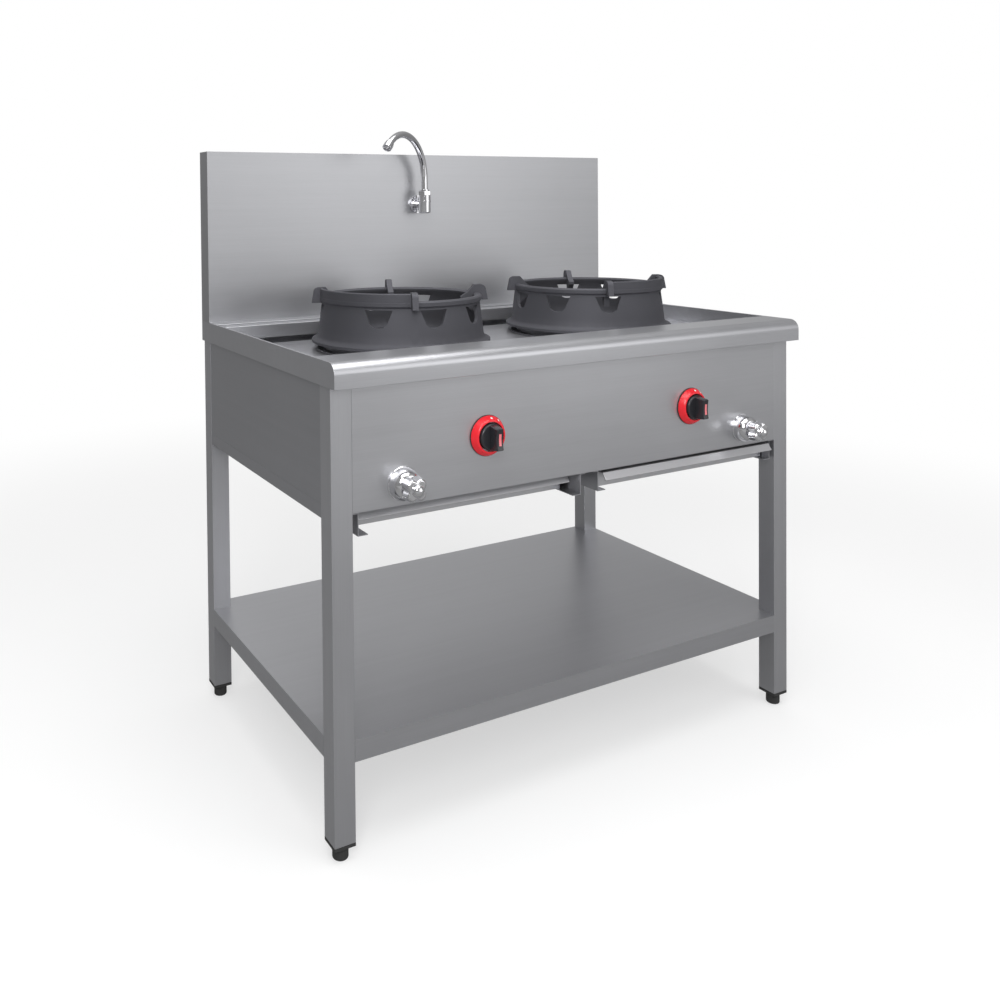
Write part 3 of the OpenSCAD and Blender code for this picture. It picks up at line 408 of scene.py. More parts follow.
@dataclass(frozen=True)
class Moulded(Finish):
    """Moulded plastic, enamel or rubber: a fine skin, dust in the colour and a coat where it is glossy."""

    coat: float = 0.0
    skin: float = 0.12
    wear: Colour = (0.2, 0.2, 0.2)
    worn: float = 0.12
    dust_span: Point = (0.45, 0.85)
    coat_rough: float = 0.06

    def sockets(self, graph: Graph) -> dict[str, Any]:
        """Skin and dust in colour, roughness and bump.

        Args:
            graph: The material's graph.

        Returns:
            Values of the surface shader's inputs.
        """
        where = graph.place()
        skin = graph.noise(where, MOULD_SKIN)
        dust = graph.noise(where, DUST).step(*self.dust_span)
        return {
            "Base Color": (dust * self.worn).blend(self.colour, self.wear),
            "Roughness": self.rough + (skin - 0.5) * 0.1 + dust * 0.08,
            "Coat Weight": self.coat,
            "Coat Roughness": self.coat_rough,
            "Normal": graph.bump(skin, self.skin, 0.0002),
        }


@dataclass(frozen=True)
class Spangled(Finish):
    """Zinc-coated pipe with its crystal spangle."""

    spangle: float = 95.0
    tones: Point = (0.72, 1.25)

    def sockets(self, graph: Graph) -> dict[str, Any]:
        """Cells in colour and roughness.

        Args:
            graph: The material's graph.

        Returns:
            Values of the surface shader's inputs.
        """
        where = graph.place()
        cell = graph.cells(where, self.spangle, "Color")
        hue, _, _ = graph.parts(cell)
        dirt = graph.noise(where, PIPE_DIRT)
        dark, light = (tint(self.colour, share) for share in self.tones)
        return {
            "Base Color": (hue * 0.6 + dirt * 0.4).blend(dark, light),
            "Metallic": 0.85,
            "Roughness": self.rough + (hue - 0.5) * 0.22,
            "Normal": graph.bump(dirt, 0.1, 0.0004),
        }


# The steel copies differ in grain direction, and their base tones also differ by part as painted light and
# shade: lighter on the legs, front panel and shelf, darker on the side panels, side rails, runners and
# splashback.
STEEL_X = Brushed("steel_brushed_across", (0.495, 0.498, 0.52), 0.35, Grain.X)
STEEL_Y_PAINTED_SHADE = Brushed("steel_brushed_deep_painted_shade", (0.43, 0.433, 0.455), 0.36, Grain.Y)
STEEL_Z_PAINTED_LIGHT = Brushed("steel_brushed_upright_painted_light", (0.52, 0.523, 0.545), 0.36, Grain.Z)
SPLASH_STEEL_PAINTED_SHADE = Brushed("splash_steel_painted_shade", (0.44, 0.443, 0.46), 0.38, Grain.X)
PANEL_STEEL_PAINTED_LIGHT = Brushed("panel_steel_painted_light", (0.53, 0.533, 0.555), 0.33, Grain.X)
SHELF_STEEL_PAINTED_LIGHT = Brushed("shelf_steel_painted_light", (0.50, 0.503, 0.525), 0.36, Grain.X)
TRAY_STEEL = Brushed("tray_steel", (0.52, 0.52, 0.535), 0.32, Grain.X, 0.1, 0.14)
IRON = Cast("cast_iron", (0.17, 0.17, 0.176), 0.36, 330.0)
BURNER_IRON = Cast("burner_iron", (0.075, 0.073, 0.075), 0.66, 520.0)
CHROME = Plated("chrome", (0.7, 0.7, 0.72), 0.12)
BRASS = Plated("brass", (0.66, 0.47, 0.2), 0.24)
COPPER = Plated("copper_pipe", (0.62, 0.33, 0.2), 0.3)
ZINC = Spangled("galvanised", (0.5, 0.51, 0.52), 0.42)
HEAT_COAT = Moulded("chamber_enamel", (0.10, 0.10, 0.105), 0.5, 0.1, 0.35, (0.24, 0.2, 0.17), 0.35)
RED = Moulded("bezel_red", (0.54, 0.007, 0.012), 0.2, 0.8, 0.05, (0.72, 0.14, 0.13), 0.1)
BLACK_GLOSS = Moulded("knob_black", (0.003, 0.003, 0.0035), 0.13, 0.5, 0.04, (0.03, 0.03, 0.03), 0.1)
BLACK_MATTE = Moulded("plastic_black", (0.018, 0.018, 0.02), 0.5, 0.0, 0.3, (0.12, 0.12, 0.12), 0.2)
RUBBER = Moulded("foot_rubber", (0.02, 0.02, 0.021), 0.62, 0.0, 0.45, (0.16, 0.155, 0.15), 0.35)
PALE_MARK = Moulded("pale_mark", (0.82, 0.80, 0.78), 0.4, 0.0, 0.1, (0.5, 0.48, 0.46), 0.2)
PINK_INLAY = Moulded("pink_inlay", (0.78, 0.20, 0.22), 0.32, 0.2, 0.1, (0.9, 0.5, 0.5), 0.2)


# --------------------------------------------------------------------------------------------------
# Mesh building
# --------------------------------------------------------------------------------------------------
FORWARD = Matrix.Rotation(QUARTER_TURN, 4, "X")
POLE_MERGE = 0.001
LEAST_AREA = 1e-12


def quarter(facets: int) -> list[float]:
    """Angles of a quarter turn, from 0 up, cut into facets."""
    return [step * QUARTER_TURN / facets for step in range(facets + 1)]


def at(x: float, y: float, z: float, turn: Matrix | None = None) -> Matrix:
    """A place in millimetres, with a turn about it.

    Args:
        x: Distance to the right.
        y: Distance to the back.
        z: Height.
        turn: Rotation applied first.

    Returns:
        The matrix.
    """
    return Matrix.Translation((x, y, z)) @ (turn or Matrix.Identity(4))


def outline_of(part: bmesh.types.BMesh, points: Sequence[Place], closed: bool = False) -> list:
    """Draw the outline that an operator then sweeps.

    Args:
        part: The mesh it is drawn in.
        points: Its corners.
        closed: Whether the last joins the first.

    Returns:
        The vertices and edges.
    """
    verts = [part.verts.new(point) for point in points]
    pairs = list(zip(verts, verts[1:])) + ([(verts[-1], verts[0])] if closed else [])
    return verts + [part.edges.new(pair) for pair in pairs]


def round_edges(part: bmesh.types.BMesh, edges: Sequence, radius: float, segments: int = 2) -> None:
    """Round a set of edges.

    Args:
        part: The mesh.
        edges: The edges.
        radius: Width of the rounding.
        segments: Facets across it.
    """
    if edges:
        bmesh.ops.bevel(
            part, geom=list(edges), offset=radius, offset_type="OFFSET", segments=segments, profile=0.5,
            affect="EDGES", clamp_overlap=True, material=-1,
        )


@dataclass
class Shape:
    """A mesh being built in millimetres in the frame's axes."""

    name: str
    bm: bmesh.types.BMesh = field(default_factory=bmesh.new)

    def join(self, part: bmesh.types.BMesh, where: Matrix) -> "Shape":
        """Put a finished part in its place and add it to the shape.

        Args:
            part: The part; it is freed.
            where: The place.

        Returns:
            The shape.
        """
        part.transform(where)
        carrier = bpy.data.meshes.new("part")
        part.to_mesh(carrier)
        part.free()
        self.bm.from_mesh(carrier)
        bpy.data.meshes.remove(carrier)
        return self

    def lathe(self, outline: Sequence[Point], where: Matrix, steps: int = 64, closed: bool = False) -> "Shape":
        """Turn an outline of (radius, height) points about the z axis of a place.

        Args:
            outline: The points.
            where: The place.
            steps: Facets round the turn.
            closed: Whether the outline is a loop.

        Returns:
            The shape.
        """
        part = bmesh.new()
        drawn = outline_of(part, [(radius, 0.0, height) for radius, height in outline], closed)
        bmesh.ops.spin(
            part, geom=drawn, cent=(0, 0, 0), axis=(0, 0, 1), dvec=(0, 0, 0), angle=FULL_TURN, steps=steps,
            use_merge=True, use_duplicate=False,
        )
        bmesh.ops.remove_doubles(part, verts=part.verts, dist=POLE_MERGE)
        return self.join(part, where)

    def prism(
        self, outline: Sequence[Point], height: float, where: Matrix, edge: float = 0.0, segments: int = 2,
        taper: float = 1.0,
    ) -> "Shape":
        """Raise a closed outline by a height and round its edges.

        Args:
            outline: Points of the foot.
            height: Rise.
            where: The place.
            edge: Radius of the rounding of the two rims.
            segments: Facets of that rounding.
            taper: Size of the top as a share of the foot.

        Returns:
            The shape.
        """
        part = bmesh.new()
        drawn = outline_of(part, [(x, y, 0.0) for x, y in outline], True)
        foot = bmesh.ops.contextual_create(part, geom=drawn)
        raised = bmesh.ops.extrude_face_region(part, geom=foot["faces"])["geom"]
        top = [item for item in raised if isinstance(item, bmesh.types.BMVert)]
        bmesh.ops.translate(part, vec=(0.0, 0.0, height), verts=top)
        bmesh.ops.scale(part, vec=(taper, taper, 1.0), verts=top)
        if edge:
            level = edge * 0.01
            rims = [one for one in part.edges if abs(one.verts[0].co.z - one.verts[1].co.z) < level]
            round_edges(part, rims, edge, segments)
        return self.join(part, where)

    def finish(
        self, finish: Finish, body: str, slot: str, replaces: Sequence[str] = (), outward: bool = False
    ) -> bpy.types.Object:
        """Turn the shape into a piece of the object.

        Args:
            finish: Its surface.
            body: The CAD body it rides on.
            slot: The record's material slot; not used.
            replaces: CAD nodes it stands for.
            outward: Whether its faces already point outwards, as a CAD node's do.

        Returns:
            The object.
        """
        bmesh.ops.scale(self.bm, vec=(MM, MM, MM), verts=self.bm.verts)
        if not outward:
            bmesh.ops.recalc_face_normals(self.bm, faces=self.bm.faces)
        mesh = bpy.data.meshes.new(self.name)
        shade(self.bm, mesh)
        piece = bpy.data.objects.new(self.name, mesh)
        bpy.context.scene.collection.objects.link(piece)
        mesh.materials.append(finish.material())
        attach(piece, body)
        if replaces:
            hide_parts(*replaces)
        LOG.info("%s: %d faces on %s", self.name, len(mesh.polygons), body)
        return piece


def shade(bm: bmesh.types.BMesh, mesh: bpy.types.Mesh, limit: float = 38.0) -> None:
    """Write a mesh with normals weighted by face area, so that flat faces stay flat beside their roundings.

    Args:
        bm: The mesh being built; it is freed.
        mesh: The mesh that takes it.
        limit: Angle in degrees above which an edge stays sharp.
    """
    least = math.cos(math.radians(limit))
    normals: list[Vector] = []
    for face in bm.faces:
        face.smooth = True
        own = face.normal
        for loop in face.loops:
            total = Vector((0.0, 0.0, 0.0))
            for near in loop.vert.link_faces:
                if near.normal.dot(own) > least:
                    total += near.normal * max(near.calc_area(), LEAST_AREA)
            normals.append(total.normalized() if total.length > 0.0 else own.copy())
    bm.to_mesh(mesh)
    bm.free()
    mesh.normals_split_custom_set(normals)
    mesh.update()


@dataclass
class Copy:
    """A CAD node's mesh, merged, with rounded folds and rims where radii are given."""

    node: str
    finish: Finish
    slot: str
    fold: float = 2.2
    rim: float = 0.4
    sheet: float = 1.5
    body: str = "frame"
    sharp: float = 30.0
    part: str = "sheet"
    merge: float = 0.004
    flat: float = 0.6
    strip: float = 1.25

    def shape(self) -> Shape:
        """Merge the node's triangles, and join flat faces where edges are rounded.

        Returns:
            The merged copy.
        """
        made = Shape(f"{self.node}_{self.part}")
        made.bm.from_mesh(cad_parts[self.node].data)
        bmesh.ops.scale(made.bm, vec=(1 / MM, 1 / MM, 1 / MM), verts=made.bm.verts)
        bmesh.ops.remove_doubles(made.bm, verts=made.bm.verts, dist=self.merge)
        if self.fold or self.rim:
            bmesh.ops.dissolve_limit(
                made.bm, angle_limit=math.radians(self.flat), use_dissolve_boundaries=False,
                verts=made.bm.verts, edges=made.bm.edges, delimit={"NORMAL"},
            )
        return made

    def corners(self, shape: Shape, thin: bool, convex: bool) -> list:
        """Edges of one kind.

        Args:
            shape: The merged copy.
            thin: True for the rims of the sheet, False for its folds.
            convex: Whether the edge stands out.

        Returns:
            The edges.
        """
        least = math.radians(self.sharp)
        found = []
        for edge in shape.bm.edges:
            if len(edge.link_faces) != 2 or abs(edge.calc_face_angle_signed(0.0)) < least:
                continue
            narrow = any(
                face.calc_area() < self.strip * self.sheet * max(side.calc_length() for side in face.edges)
                for face in edge.link_faces
            )
            if narrow == thin and (edge.calc_face_angle_signed(0.0) > 0.0) == convex:
                found.append(edge)
        return found

    def build(self) -> bpy.types.Object:
        """Round folds and rims, cut the faces into triangles and finish the piece.

        Returns:
            The object.
        """
        shape = self.shape()
        if self.fold:
            inside = max(self.fold - self.sheet, self.rim)
            round_edges(shape.bm, self.corners(shape, False, True), self.fold, 3)
            round_edges(shape.bm, self.corners(shape, False, False), inside, 2)
        if self.rim:
            round_edges(shape.bm, self.corners(shape, True, True), self.rim, 2)
        bmesh.ops.triangulate(shape.bm, faces=shape.bm.faces, quad_method="BEAUTY", ngon_method="BEAUTY")
        return shape.finish(self.finish, self.body, self.slot, (self.node,), outward=True)


# --------------------------------------------------------------------------------------------------
# Sub-assemblies
# --------------------------------------------------------------------------------------------------
@dataclass
class SheetWork:
    """All folded sheet and square tube of the frame."""

    fold: float = 2.2
    rim: float = 0.4
    tube_fold: float = 3.0

    def build(self) -> None:
        """Copy each sheet and tube with its own grain, with painted light as a lighter tone on the legs, front
        panel and shelf and painted shade as a darker tone on the side panels, side rails, runners and
        splashback; splashback, side panels and runners keep sharp folds.
        """
        for node in ("rear_panel", "worktop", "gutter"):
            Copy(node, STEEL_X, "steel_sheet", self.fold, self.rim).build()
        Copy("front_panel", PANEL_STEEL_PAINTED_LIGHT, "steel_sheet", self.fold, self.rim).build()
        Copy("splashback", SPLASH_STEEL_PAINTED_SHADE, "steel_sheet", fold=0.0, rim=0.0).build()
        Copy("lower_shelf", SHELF_STEEL_PAINTED_LIGHT, "steel_sheet", self.fold, self.rim).build()
        for side in SIDES:
            Copy(f"side_panel_{side}", STEEL_Y_PAINTED_SHADE, "steel_sheet", fold=0.0, rim=0.0).build()
            Copy(f"side_rail_{side}", STEEL_Y_PAINTED_SHADE, "steel_sheet", self.fold, self.rim).build()
            Copy(f"runner_{side}", STEEL_Y_PAINTED_SHADE, "steel_sheet", fold=0.0, rim=0.0).build()
            Copy(f"tray_{side}", TRAY_STEEL, "tray_steel", self.fold, self.rim, body=f"tray_{side}").build()
        for end in ("front", "rear"):
            Copy(f"top_rail_{end}", STEEL_X, "steel_sheet", self.fold, self.rim).build()
        for corner in CORNERS:
            Copy(f"leg_{corner}", STEEL_Z_PAINTED_LIGHT, "steel_tube", self.tube_fold, self.rim).build()


@dataclass
class Fittings:
    """Copies of the solid fittings, with small edge roundings."""

    edge: float = 0.5
    cast_edge: float = 1.4
    sharp: float = 32.0
    no_sheet: float = 1e9

    def copy(self, node: str, finish: Finish, slot: str, body: str, edge: float) -> None:
        """Copy a solid, each of whose sharp edges is rounded as a rim.

        Args:
            node: The CAD node.
            finish: Its surface.
            slot: The record's material slot.
            body: The CAD body it rides on.
            edge: Radius of the roundings.
        """
        Copy(
            node, finish, slot, 0.0, edge, sheet=self.no_sheet, body=body, sharp=self.sharp, part="body"
        ).build()

    def build(self) -> None:
        """Copy each solid fitting."""
        solid: list[tuple[str, Finish, str, str]] = []
        for corner in CORNERS:
            solid.append((f"insert_{corner}", BLACK_MATTE, "plastic_black", "frame"))
        for side in SIDES:
            solid += [
                (f"chamber_{side}", HEAT_COAT, "chamber_enamel", "frame"),
                (f"burner_{side}", BURNER_IRON, "cast_iron", "frame"),
                (f"jets_{side}", BRASS, "brass", "frame"),
                (f"gas_valve_{side}", BRASS, "brass", "frame"),
                (f"feed_pipe_{side}", ZINC, "galvanised", "frame"),
                (f"spindle_{side}", BRASS, "brass", f"spindle_{side}"),
                (f"bezel_rim_{side}", BLACK_MATTE, "plastic_black", "frame"),
                (f"bezel_{side}", RED, "bezel_red", "frame"),
                (f"tap_valve_{side}", BRASS, "brass", "frame"),
            ]
        solid += [
            ("gas_manifold", ZINC, "galvanised", "frame"),
            ("spout_feed", COPPER, "copper_pipe", "frame"),
            ("spout_mount", CHROME, "chrome", "frame"),
            ("spout_nut", CHROME, "chrome", "frame"),
            ("spout_tube", CHROME, "chrome", "spout"),
            ("aerator", CHROME, "chrome", "spout"),
        ]
        for node, finish, slot, body in solid:
            self.copy(node, finish, slot, body, self.edge)
        for side in SIDES:
            self.copy(f"wok_ring_{side}", IRON, "cast_iron", f"wok_ring_{side}", self.cast_edge)


# --------------------------------------------------------------------------------------------------
# Details
# --------------------------------------------------------------------------------------------------
# Turns an outline's x and y into a place's y and z, and its rise into x.
LYING = Matrix(((0.0, 0.0, 1.0, 0.0), (1.0, 0.0, 0.0, 0.0), (0.0, 1.0, 0.0, 0.0), (0.0, 0.0, 0.0, 1.0)))


@dataclass
class Knobs:
    """Gas knobs with an upright grip, the inlay in the grip and the pale marks on each bezel."""

    pitch: float = 506.0
    offset: float = 13.0
    height: float = 689.0
    panel: float = -325.0
    back: float = 8.0
    face: float = 18.0
    radius: float = 24.5
    crown: float = 3.5
    gap: float = 0.2
    chamfer: float = 0.8
    dome: float = 0.6
    front: float = 42.0
    dip: float = 2.5
    grip: float = 38.0
    grip_wide: float = 14.0
    grip_round: float = 2.0
    grip_foot: float = 22.9
    grip_rise: float = 4.0
    grip_lean: float = 1.0
    grip_nose: Point = (0.9, 2.6)
    grip_end: float = 1.2
    inlay_wide: float = 5.0
    inlay_long: float = 21.0
    inlay_rise: float = 0.5
    inlay_round: float = 0.2
    steps: int = 10
    mark_reach: float = 33.0
    mark_height: float = 9.3
    mark_slope: float = 57.3
    mark_bearings: Point = (84.0, 57.0)
    dot: float = 2.3
    dot_edge: float = 0.3
    dot_sink: float = 0.6
    dot_rise: float = 0.35
    drop_wide: float = 2.2
    drop_long: float = 3.2
    drop_deep: float = 0.7
    drop_sink: float = 0.4
    drop_steps: int = 24

    def centre(self, side: str) -> Matrix:
        """The knob's axis at the panel, pointing forward."""
        return at(SIDES[side] * self.pitch / 2 + self.offset, self.panel, self.height, FORWARD)

    def hollow(self, length: float) -> list[Point]:
        """Draw the hollow front of the grip, seen from its side.

        Args:
            length: Length of the curve about the grip's middle.

        Returns:
            Its points.
        """
        bend = (self.grip**2 / 4 + self.dip**2) / (2 * self.dip)
        rows = [length * (step / self.steps - 0.5) for step in range(self.steps + 1)]
        return [(row, self.front - self.dip + bend - math.sqrt(bend**2 - row**2)) for row in rows]

    def cap(self, side: str) -> None:
        """Make the domed disc with the grip bar on it.

        Args:
            side: Left or right.
        """
        low, rim = self.back + self.gap, self.radius - self.crown
        disc = [(0.0, low), (self.radius - self.chamfer, low), (self.radius, low + self.chamfer)]
        dome = [
            (rim + self.crown * math.cos(turn), self.face - self.crown * (1 - math.sin(turn)))
            for turn in quarter(6)
        ]
        outline = disc + dome + [(0.0, self.face + self.dome)]
        knob = Shape(f"knob_{side}_cap").lathe(outline, self.centre(side), 96)
        flank = [
            (self.grip_foot, self.back + self.grip_rise),
            (self.grip_foot - self.grip_lean, self.face + self.grip_rise),
            (self.grip / 2 + self.grip_nose[0], self.front - self.grip_nose[1]),
        ]
        hollow = self.hollow(self.grip - self.grip_end)
        outline = flank + hollow[::-1] + [(-y, z) for y, z in reversed(flank)]
        where = self.centre(side) @ Matrix.Translation((-self.grip_wide / 2, 0.0, 0.0)) @ LYING
        knob.prism(outline, self.grip_wide, where, self.grip_round, 4).finish(
            BLACK_GLOSS, f"knob_{side}", "knob_black", (f"knob_{side}",)
        )

    def inlay(self, side: str) -> None:
        """Let the coloured strip into the hollow of the grip.

        Args:
            side: Left or right.
        """
        face, rise = self.hollow(self.inlay_long), self.inlay_rise
        outline = [(y, z - rise) for y, z in face] + [(y, z + rise) for y, z in reversed(face)]
        where = self.centre(side) @ Matrix.Translation((-self.inlay_wide / 2, 0.0, 0.0)) @ LYING
        Shape(f"knob_inlay_{side}").prism(outline, self.inlay_wide, where, self.inlay_round, 2).finish(
            PINK_INLAY, f"knob_{side}", "bezel_red"
        )

    def mark(self, side: str, bearing: float) -> Matrix:
        """Find a place on the cone of the bezel.

        Args:
            side: Left or right.
            bearing: Angle round the knob in degrees.

        Returns:
            The place, with z out of the surface.
        """
        turn = Matrix.Rotation(math.radians(bearing), 4, "Z")
        lean = Matrix.Rotation(math.radians(self.mark_slope), 4, "Y")
        return self.centre(side) @ turn @ at(self.mark_reach, 0.0, self.mark_height, lean)

    def marks(self, side: str) -> None:
        """Put a round dot and a small drop on the bezel.

        Args:
            side: Left or right.
        """
        dot, drop = self.mark_bearings
        outline = [
            (0.0, -self.dot_sink), (self.dot, -self.dot_sink), (self.dot, 0.1),
            (self.dot - self.dot_edge, 0.3), (0.0, self.dot_rise),
        ]
        Shape(f"bezel_dot_{side}").lathe(outline, self.mark(side, dot), 28).finish(
            PALE_MARK, "frame", "bezel_red"
        )
        leaf = [
            (self.drop_wide * math.sin(turn) * math.sin(turn / 2), -self.drop_long * math.cos(turn))
            for turn in (step * FULL_TURN / self.drop_steps for step in range(self.drop_steps))
        ]
        upright = Matrix.Rotation(QUARTER_TURN, 4, "Z")
        where = self.mark(side, drop) @ upright @ at(0, 0, -self.drop_sink)
        Shape(f"bezel_drop_{side}").prism(leaf, self.drop_deep, where).finish(
            PALE_MARK, "frame", "bezel_red"
        )

    def build(self) -> None:
        """Dress both knobs."""
        for side in SIDES:
            self.cap(side)
            self.inlay(side)
            self.marks(side)


@dataclass
class Taps:
    """Water taps: a ringed bell on the panel and a notched handle with a domed cap."""

    reach: float = 417.0
    height: float = 627.0
    panel: float = -325.0
    bell: float = 30.0
    bell_front: float = 15.0
    bell_deep: float = 28.0
    bore: float = 10.4
    flange: float = 2.2
    flange_edge: Point = (0.7, 0.8)
    shoulder: float = 1.2
    ring_rise: float = 2.0
    ring_foot: float = 1.6
    ring_edge: Point = (0.9, 0.4)
    wheel: float = 24.0
    wheel_back: float = 29.4
    wheel_deep: float = 20.4
    wheel_round: float = 4.2
    wheel_taper: float = 0.88
    notch: float = 6.5
    lobes: int = 4
    steps: int = 96
    cap: float = 10.5
    cap_wall: float = 3.0
    cap_foot: float = 1.8
    collar: float = 1.0
    collar_sink: float = 4.0
    collar_rise: float = 1.2
    tip: float = 60.0
    stem: float = 6.0
    stem_back: float = 16.0
    stem_in: float = 2.0

    def centre(self, side: str) -> Matrix:
        """The tap's axis at the panel, pointing forward."""
        return at(SIDES[side] * self.reach, self.panel, self.height, FORWARD)

    def cover(self, side: str) -> None:
        """Make the bell with a flat flange and a raised ring at its front.

        Args:
            side: Left or right.
        """
        top, ring = self.bell_deep, self.bell_front - self.ring_edge[1]
        rise, narrow = top - self.flange - self.ring_rise, self.bell - self.shoulder - self.bell_front
        flange = [
            (self.bore, 0.0), (self.bell, 0.0), (self.bell, self.flange - self.flange_edge[1]),
            (self.bell - self.flange_edge[0], self.flange),
        ]
        dome = [
            (self.bell_front + narrow * math.cos(turn), self.flange + rise * math.sin(turn))
            for turn in quarter(12)
        ]
        front = [
            (ring, top - self.ring_foot), (ring, top - self.ring_edge[1]),
            (self.bell_front - self.ring_edge[0], top), (self.bore, top),
        ]
        outline = flange + dome + front
        Shape(f"tap_cover_{side}_bell").lathe(outline, self.centre(side), 96, True).finish(
            CHROME, "frame", "chrome", (f"tap_cover_{side}",)
        )

    def handle(self, side: str) -> None:
        """Make the wheel of full, rounded lobes with a domed cap, on its stem.

        Args:
            side: Left or right.
        """
        outline = []
        for step in range(self.steps):
            turn = step * FULL_TURN / self.steps
            cut = self.notch * (0.5 + 0.5 * math.cos(self.lobes * turn)) ** 2
            outline.append(((self.wheel - cut) * math.cos(turn), (self.wheel - cut) * math.sin(turn)))
        where = self.centre(side)
        piece = Shape(f"tap_handle_{side}_wheel").prism(
            outline, self.wheel_deep, where @ at(0, 0, self.wheel_back), self.wheel_round, 5, self.wheel_taper
        )
        low = self.wheel_back + self.wheel_deep
        wall, collar = low + self.cap_wall, self.cap + self.collar
        skirt = [
            (0.0, low - self.collar_sink), (collar, low - self.collar_sink), (collar, low + self.collar_rise),
            (self.cap, low + self.cap_foot),
        ]
        dome = [
            (self.cap * math.cos(turn), wall + (self.tip - wall) * math.sin(turn)) for turn in quarter(8)[:-1]
        ]
        piece.lathe(skirt + dome + [(0.0, self.tip)], where, 64)
        ends = (self.stem_back, self.wheel_back + self.stem_in)
        piece.lathe([(0.0, ends[0]), (self.stem, ends[0]), (self.stem, ends[1]), (0.0, ends[1])], where, 40)
        piece.finish(CHROME, f"tap_handle_{side}", "chrome", (f"tap_handle_{side}",))

    def build(self) -> None:
        """Dress both taps."""
        for side in SIDES:
            self.cover(side)
            self.handle(side)


@dataclass
class Feet:
    """Levelling feet: a rounded pad and a threaded stud."""

    across: float = 535.0
    deep: float = 305.0
    radius: float = 14.0
    rounding: float = 3.0
    height: float = 23.7
    stud: float = 5.0
    reach: float = 60.0
    pitch: float = 1.5
    thread: float = 0.55
    chamfer: float = 1.0
    groove: float = 0.5
    groove_down: float = 8.0
    groove_wide: float = 2.0
    stud_sink: float = 1.0
    stud_tip: float = 1.2

    def pad(self) -> list[Point]:
        """Draw the pad with the groove round it.

        Returns:
            Its outline.
        """
        inner = self.radius - self.rounding
        arc = [
            (inner + self.rounding * math.sin(turn), self.rounding - self.rounding * math.cos(turn))
            for turn in quarter(6)
        ]
        top, waist = self.height - self.groove_down, self.radius - self.groove
        groove = [
            (self.radius, top), (waist, top + self.groove),
            (waist, top + self.groove_wide - self.groove), (self.radius, top + self.groove_wide),
        ]
        crown = [
            (self.radius, self.height - self.chamfer), (self.radius - self.chamfer, self.height),
            (0.0, self.height),
        ]
        return [(0.0, 0.0)] + arc + groove + crown

    def screw(self) -> list[Point]:
        """Draw the stud with its thread.

        Returns:
            Its outline.
        """
        turns = int(self.reach / self.pitch) - 2
        foot = self.height - self.stud_sink
        rows: list[Point] = [(0.0, foot)]
        for turn in range(turns):
            low = foot + turn * self.pitch
            rows += [(self.stud, low), (self.stud - self.thread, low + self.pitch / 2)]
        top = foot + turns * self.pitch
        end = top + self.chamfer
        return rows + [(self.stud - self.thread, top), (self.stud - self.stud_tip, end), (0.0, end)]

    def build(self) -> None:
        """Make the four feet."""
        for corner in CORNERS:
            deep, side = corner.split("_")
            where = at(SIDES[side] * self.across, -self.deep if deep == "front" else self.deep, 0.0)
            foot = f"foot_{corner}"
            Shape(f"{foot}_pad").lathe(self.pad(), where, 56).finish(RUBBER, foot, "foot_rubber", (foot,))
            Shape(f"{foot}_stud").lathe(self.screw(), where, 36).finish(ZINC, foot, "galvanised")


# --------------------------------------------------------------------------------------------------
# Studio
# --------------------------------------------------------------------------------------------------
@dataclass(frozen=True)
class Softbox:
    """One area lamp, at a bearing from the front, a distance and a height, that looks at the range."""

    name: str
    bearing: float
    distance: float
    height: float
    wide: float
    high: float
    watts: float
    aim: Place = (0.0, 0.0, 0.7)

    def build(self) -> None:
        """Add the lamp."""
        lamp = bpy.data.lights.new(self.name, "AREA")
        lamp.shape = "RECTANGLE"
        lamp.size, lamp.size_y = self.wide, self.high
        lamp.energy = self.watts
        angle = math.radians(self.bearing)
        spot = Vector((math.sin(angle) * self.distance, -math.cos(angle) * self.distance, self.height))
        thing = bpy.data.objects.new(self.name, lamp)
        thing.location = spot
        thing.rotation_euler = (Vector(self.aim) - spot).to_track_quat("-Z", "Y").to_euler()
        bpy.context.scene.collection.objects.link(thing)


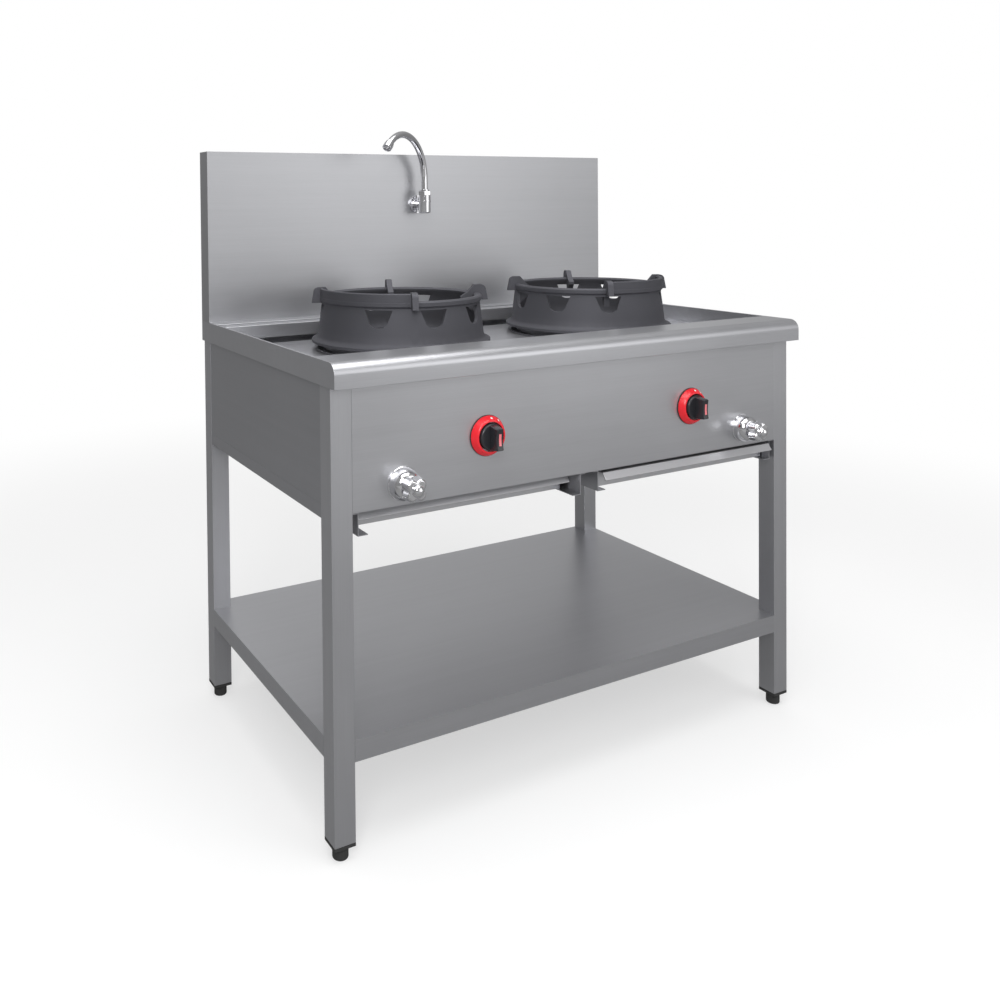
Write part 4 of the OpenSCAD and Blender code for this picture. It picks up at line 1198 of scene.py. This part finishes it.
@dataclass
class Studio:
    """White floor and background, soft lamps and the photo's camera."""

    floor_size: float = 60.0
    near: float = 1.3
    far: float = 3.2
    veil: float = 0.56
    dim: float = 0.24
    glow: float = 1.1
    overhead: float = 0.15
    overhead_span: Point = (0.05, 0.8)
    front_floor: float = 0.2
    front_span: Point = (0.9, 2.6)
    glow_from: Place = (0.48, -0.87, 0.1)
    glow_span: Point = (0.78, 1.0)
    back_glow_from: Place = (0.35, 0.93, 0.1)
    back_glow_span: Point = (0.8, 0.98)
    back_glow: float = 0.55
    pale: float = 0.9
    pale_in_gloss: float = 0.3
    lamps: tuple[Softbox, ...] = (
        Softbox("key", 29.0, 3.6, 1.5, 1.7, 2.4, 11.0),
        Softbox("top", -20.0, 0.6, 3.4, 2.6, 2.6, 85.0),
        Softbox("left", -38.0, 3.0, 2.2, 1.0, 1.4, 52.0),
    )
    bearing: float = 26.882
    tilt: float = 1.182
    roll: float = 0.604
    focal_px: float = 945.48
    centre: Point = (345.63, 224.53)
    eye: Place = (-1.2343, -1.7292, 1.1083)
    picture: float = 1000.0
    sensor: float = 36.0
    sight: float = 200.0

    def light(self, graph: Graph, toward: Socket | float = 0.0) -> Socket:
        """Set the brightness of the surroundings: white to the camera, else a dimmer level that rises.

        Args:
            graph: The graph.
            toward: How far a ray points to a bright part, from 0 to 1.

        Returns:
            The brightness.
        """
        camera = graph.add("ShaderNodeLightPath", {}, {}, "Is Camera Ray")
        return camera + (1.0 - camera) * (toward * (self.glow - self.dim) + self.dim)

    def floor(self) -> None:
        """Pale floor that takes the shadow near the range and turns to plain white further away."""
        shape = bmesh.new()
        bmesh.ops.create_grid(shape, x_segments=1, y_segments=1, size=self.floor_size)
        mesh = bpy.data.meshes.new("floor")
        shape.to_mesh(mesh)
        shape.free()
        thing = bpy.data.objects.new("floor", mesh)
        bpy.context.scene.collection.objects.link(thing)
        paint = bpy.data.materials.new("floor")
        paint.use_nodes = True
        graph = Graph(paint.node_tree)
        x, y, _ = graph.parts(graph.place())
        far = ((x * x + y * y) ** 0.5).step(self.near, self.far)
        gloss = graph.add("ShaderNodeLightPath", {}, {}, "Is Glossy Ray")
        tone = gloss.blend((self.pale,) * 3, (self.pale_in_gloss,) * 3)
        pale = graph.add("ShaderNodeBsdfDiffuse", {}, {"Color": tone, "Roughness": 0.0})
        front = (0.0 - y).step(*self.front_span) * self.front_floor
        glow = {"Color": (1.0, 1.0, 1.0), "Strength": self.light(graph, front)}
        white = graph.add("ShaderNodeEmission", {}, glow)
        share = far * (1.0 - self.veil) + self.veil
        graph.finish(graph.add("ShaderNodeMixShader", {}, {"Fac": share, "Shader": pale, "Shader_001": white}))
        mesh.materials.append(paint)

    @staticmethod
    def along(graph: Graph, ray: Socket, way: Place) -> Socket:
        """Measure how closely a ray points one way.

        Args:
            graph: The graph.
            ray: The ray's direction.
            way: The way to measure along.

        Returns:
            The cosine of the angle between the two.
        """
        ends = {"Vector": ray, "Vector_001": way}
        return graph.add("ShaderNodeVectorMath", {"operation": "DOT_PRODUCT"}, ends, "Value")

    def world(self) -> None:
        """White surroundings, with a bright part in front of the range and a weaker one behind it."""
        world = bpy.data.worlds.new("studio")
        world.use_nodes = True
        graph = Graph(world.node_tree)
        ray = graph.add("ShaderNodeTexCoord", {}, {}, "Generated")
        front = self.along(graph, ray, self.glow_from).step(*self.glow_span)
        behind = self.along(graph, ray, self.back_glow_from).step(*self.back_glow_span)
        _, _, up = graph.parts(ray)
        overhead = up.step(*self.overhead_span)
        light = self.light(graph, front + behind * self.back_glow + overhead * self.overhead)
        graph.finish(
            graph.add("ShaderNodeBackground", {}, {"Color": (1.0, 1.0, 1.0), "Strength": light}),
            "ShaderNodeOutputWorld",
        )
        bpy.context.scene.world = world

    def camera(self) -> None:
        """Camera at the photo's place, angle and picture centre."""
        side, sink = math.radians(self.bearing), math.radians(self.tilt)
        ahead = Vector((math.sin(side) * math.cos(sink), math.cos(side) * math.cos(sink), -math.sin(sink)))
        right = Vector((math.cos(side), -math.sin(side), 0.0))
        down = ahead.cross(right)
        turn = math.radians(self.roll)
        across = right * math.cos(turn) + down * math.sin(turn)
        below = down * math.cos(turn) - right * math.sin(turn)
        data = bpy.data.cameras.new("camera")
        data.sensor_fit = "HORIZONTAL"
        data.sensor_width = self.sensor
        data.lens = self.focal_px / self.picture * self.sensor
        data.shift_x = 0.5 - self.centre[0] / self.picture
        data.shift_y = self.centre[1] / self.picture - 0.5
        data.clip_end = self.sight
        thing = bpy.data.objects.new("camera", data)
        pose = Matrix((across, -below, -ahead)).transposed().to_4x4()
        pose.translation = Vector(self.eye)
        thing.matrix_world = pose
        bpy.context.scene.collection.objects.link(thing)
        bpy.context.scene.camera = thing

    def build(self) -> None:
        """Set up the whole studio."""
        self.world()
        self.floor()
        for lamp in self.lamps:
            lamp.build()
        self.camera()
        bpy.context.scene.view_settings.view_transform = "Standard"


def main() -> None:
    """Build the range and its studio."""
    logging.basicConfig(level=logging.INFO, format="%(message)s")
    Studio().build()
    SheetWork().build()
    Fittings().build()
    Knobs().build()
    Taps().build()
    Feet().build()


if __name__ == "__main__":
    main()
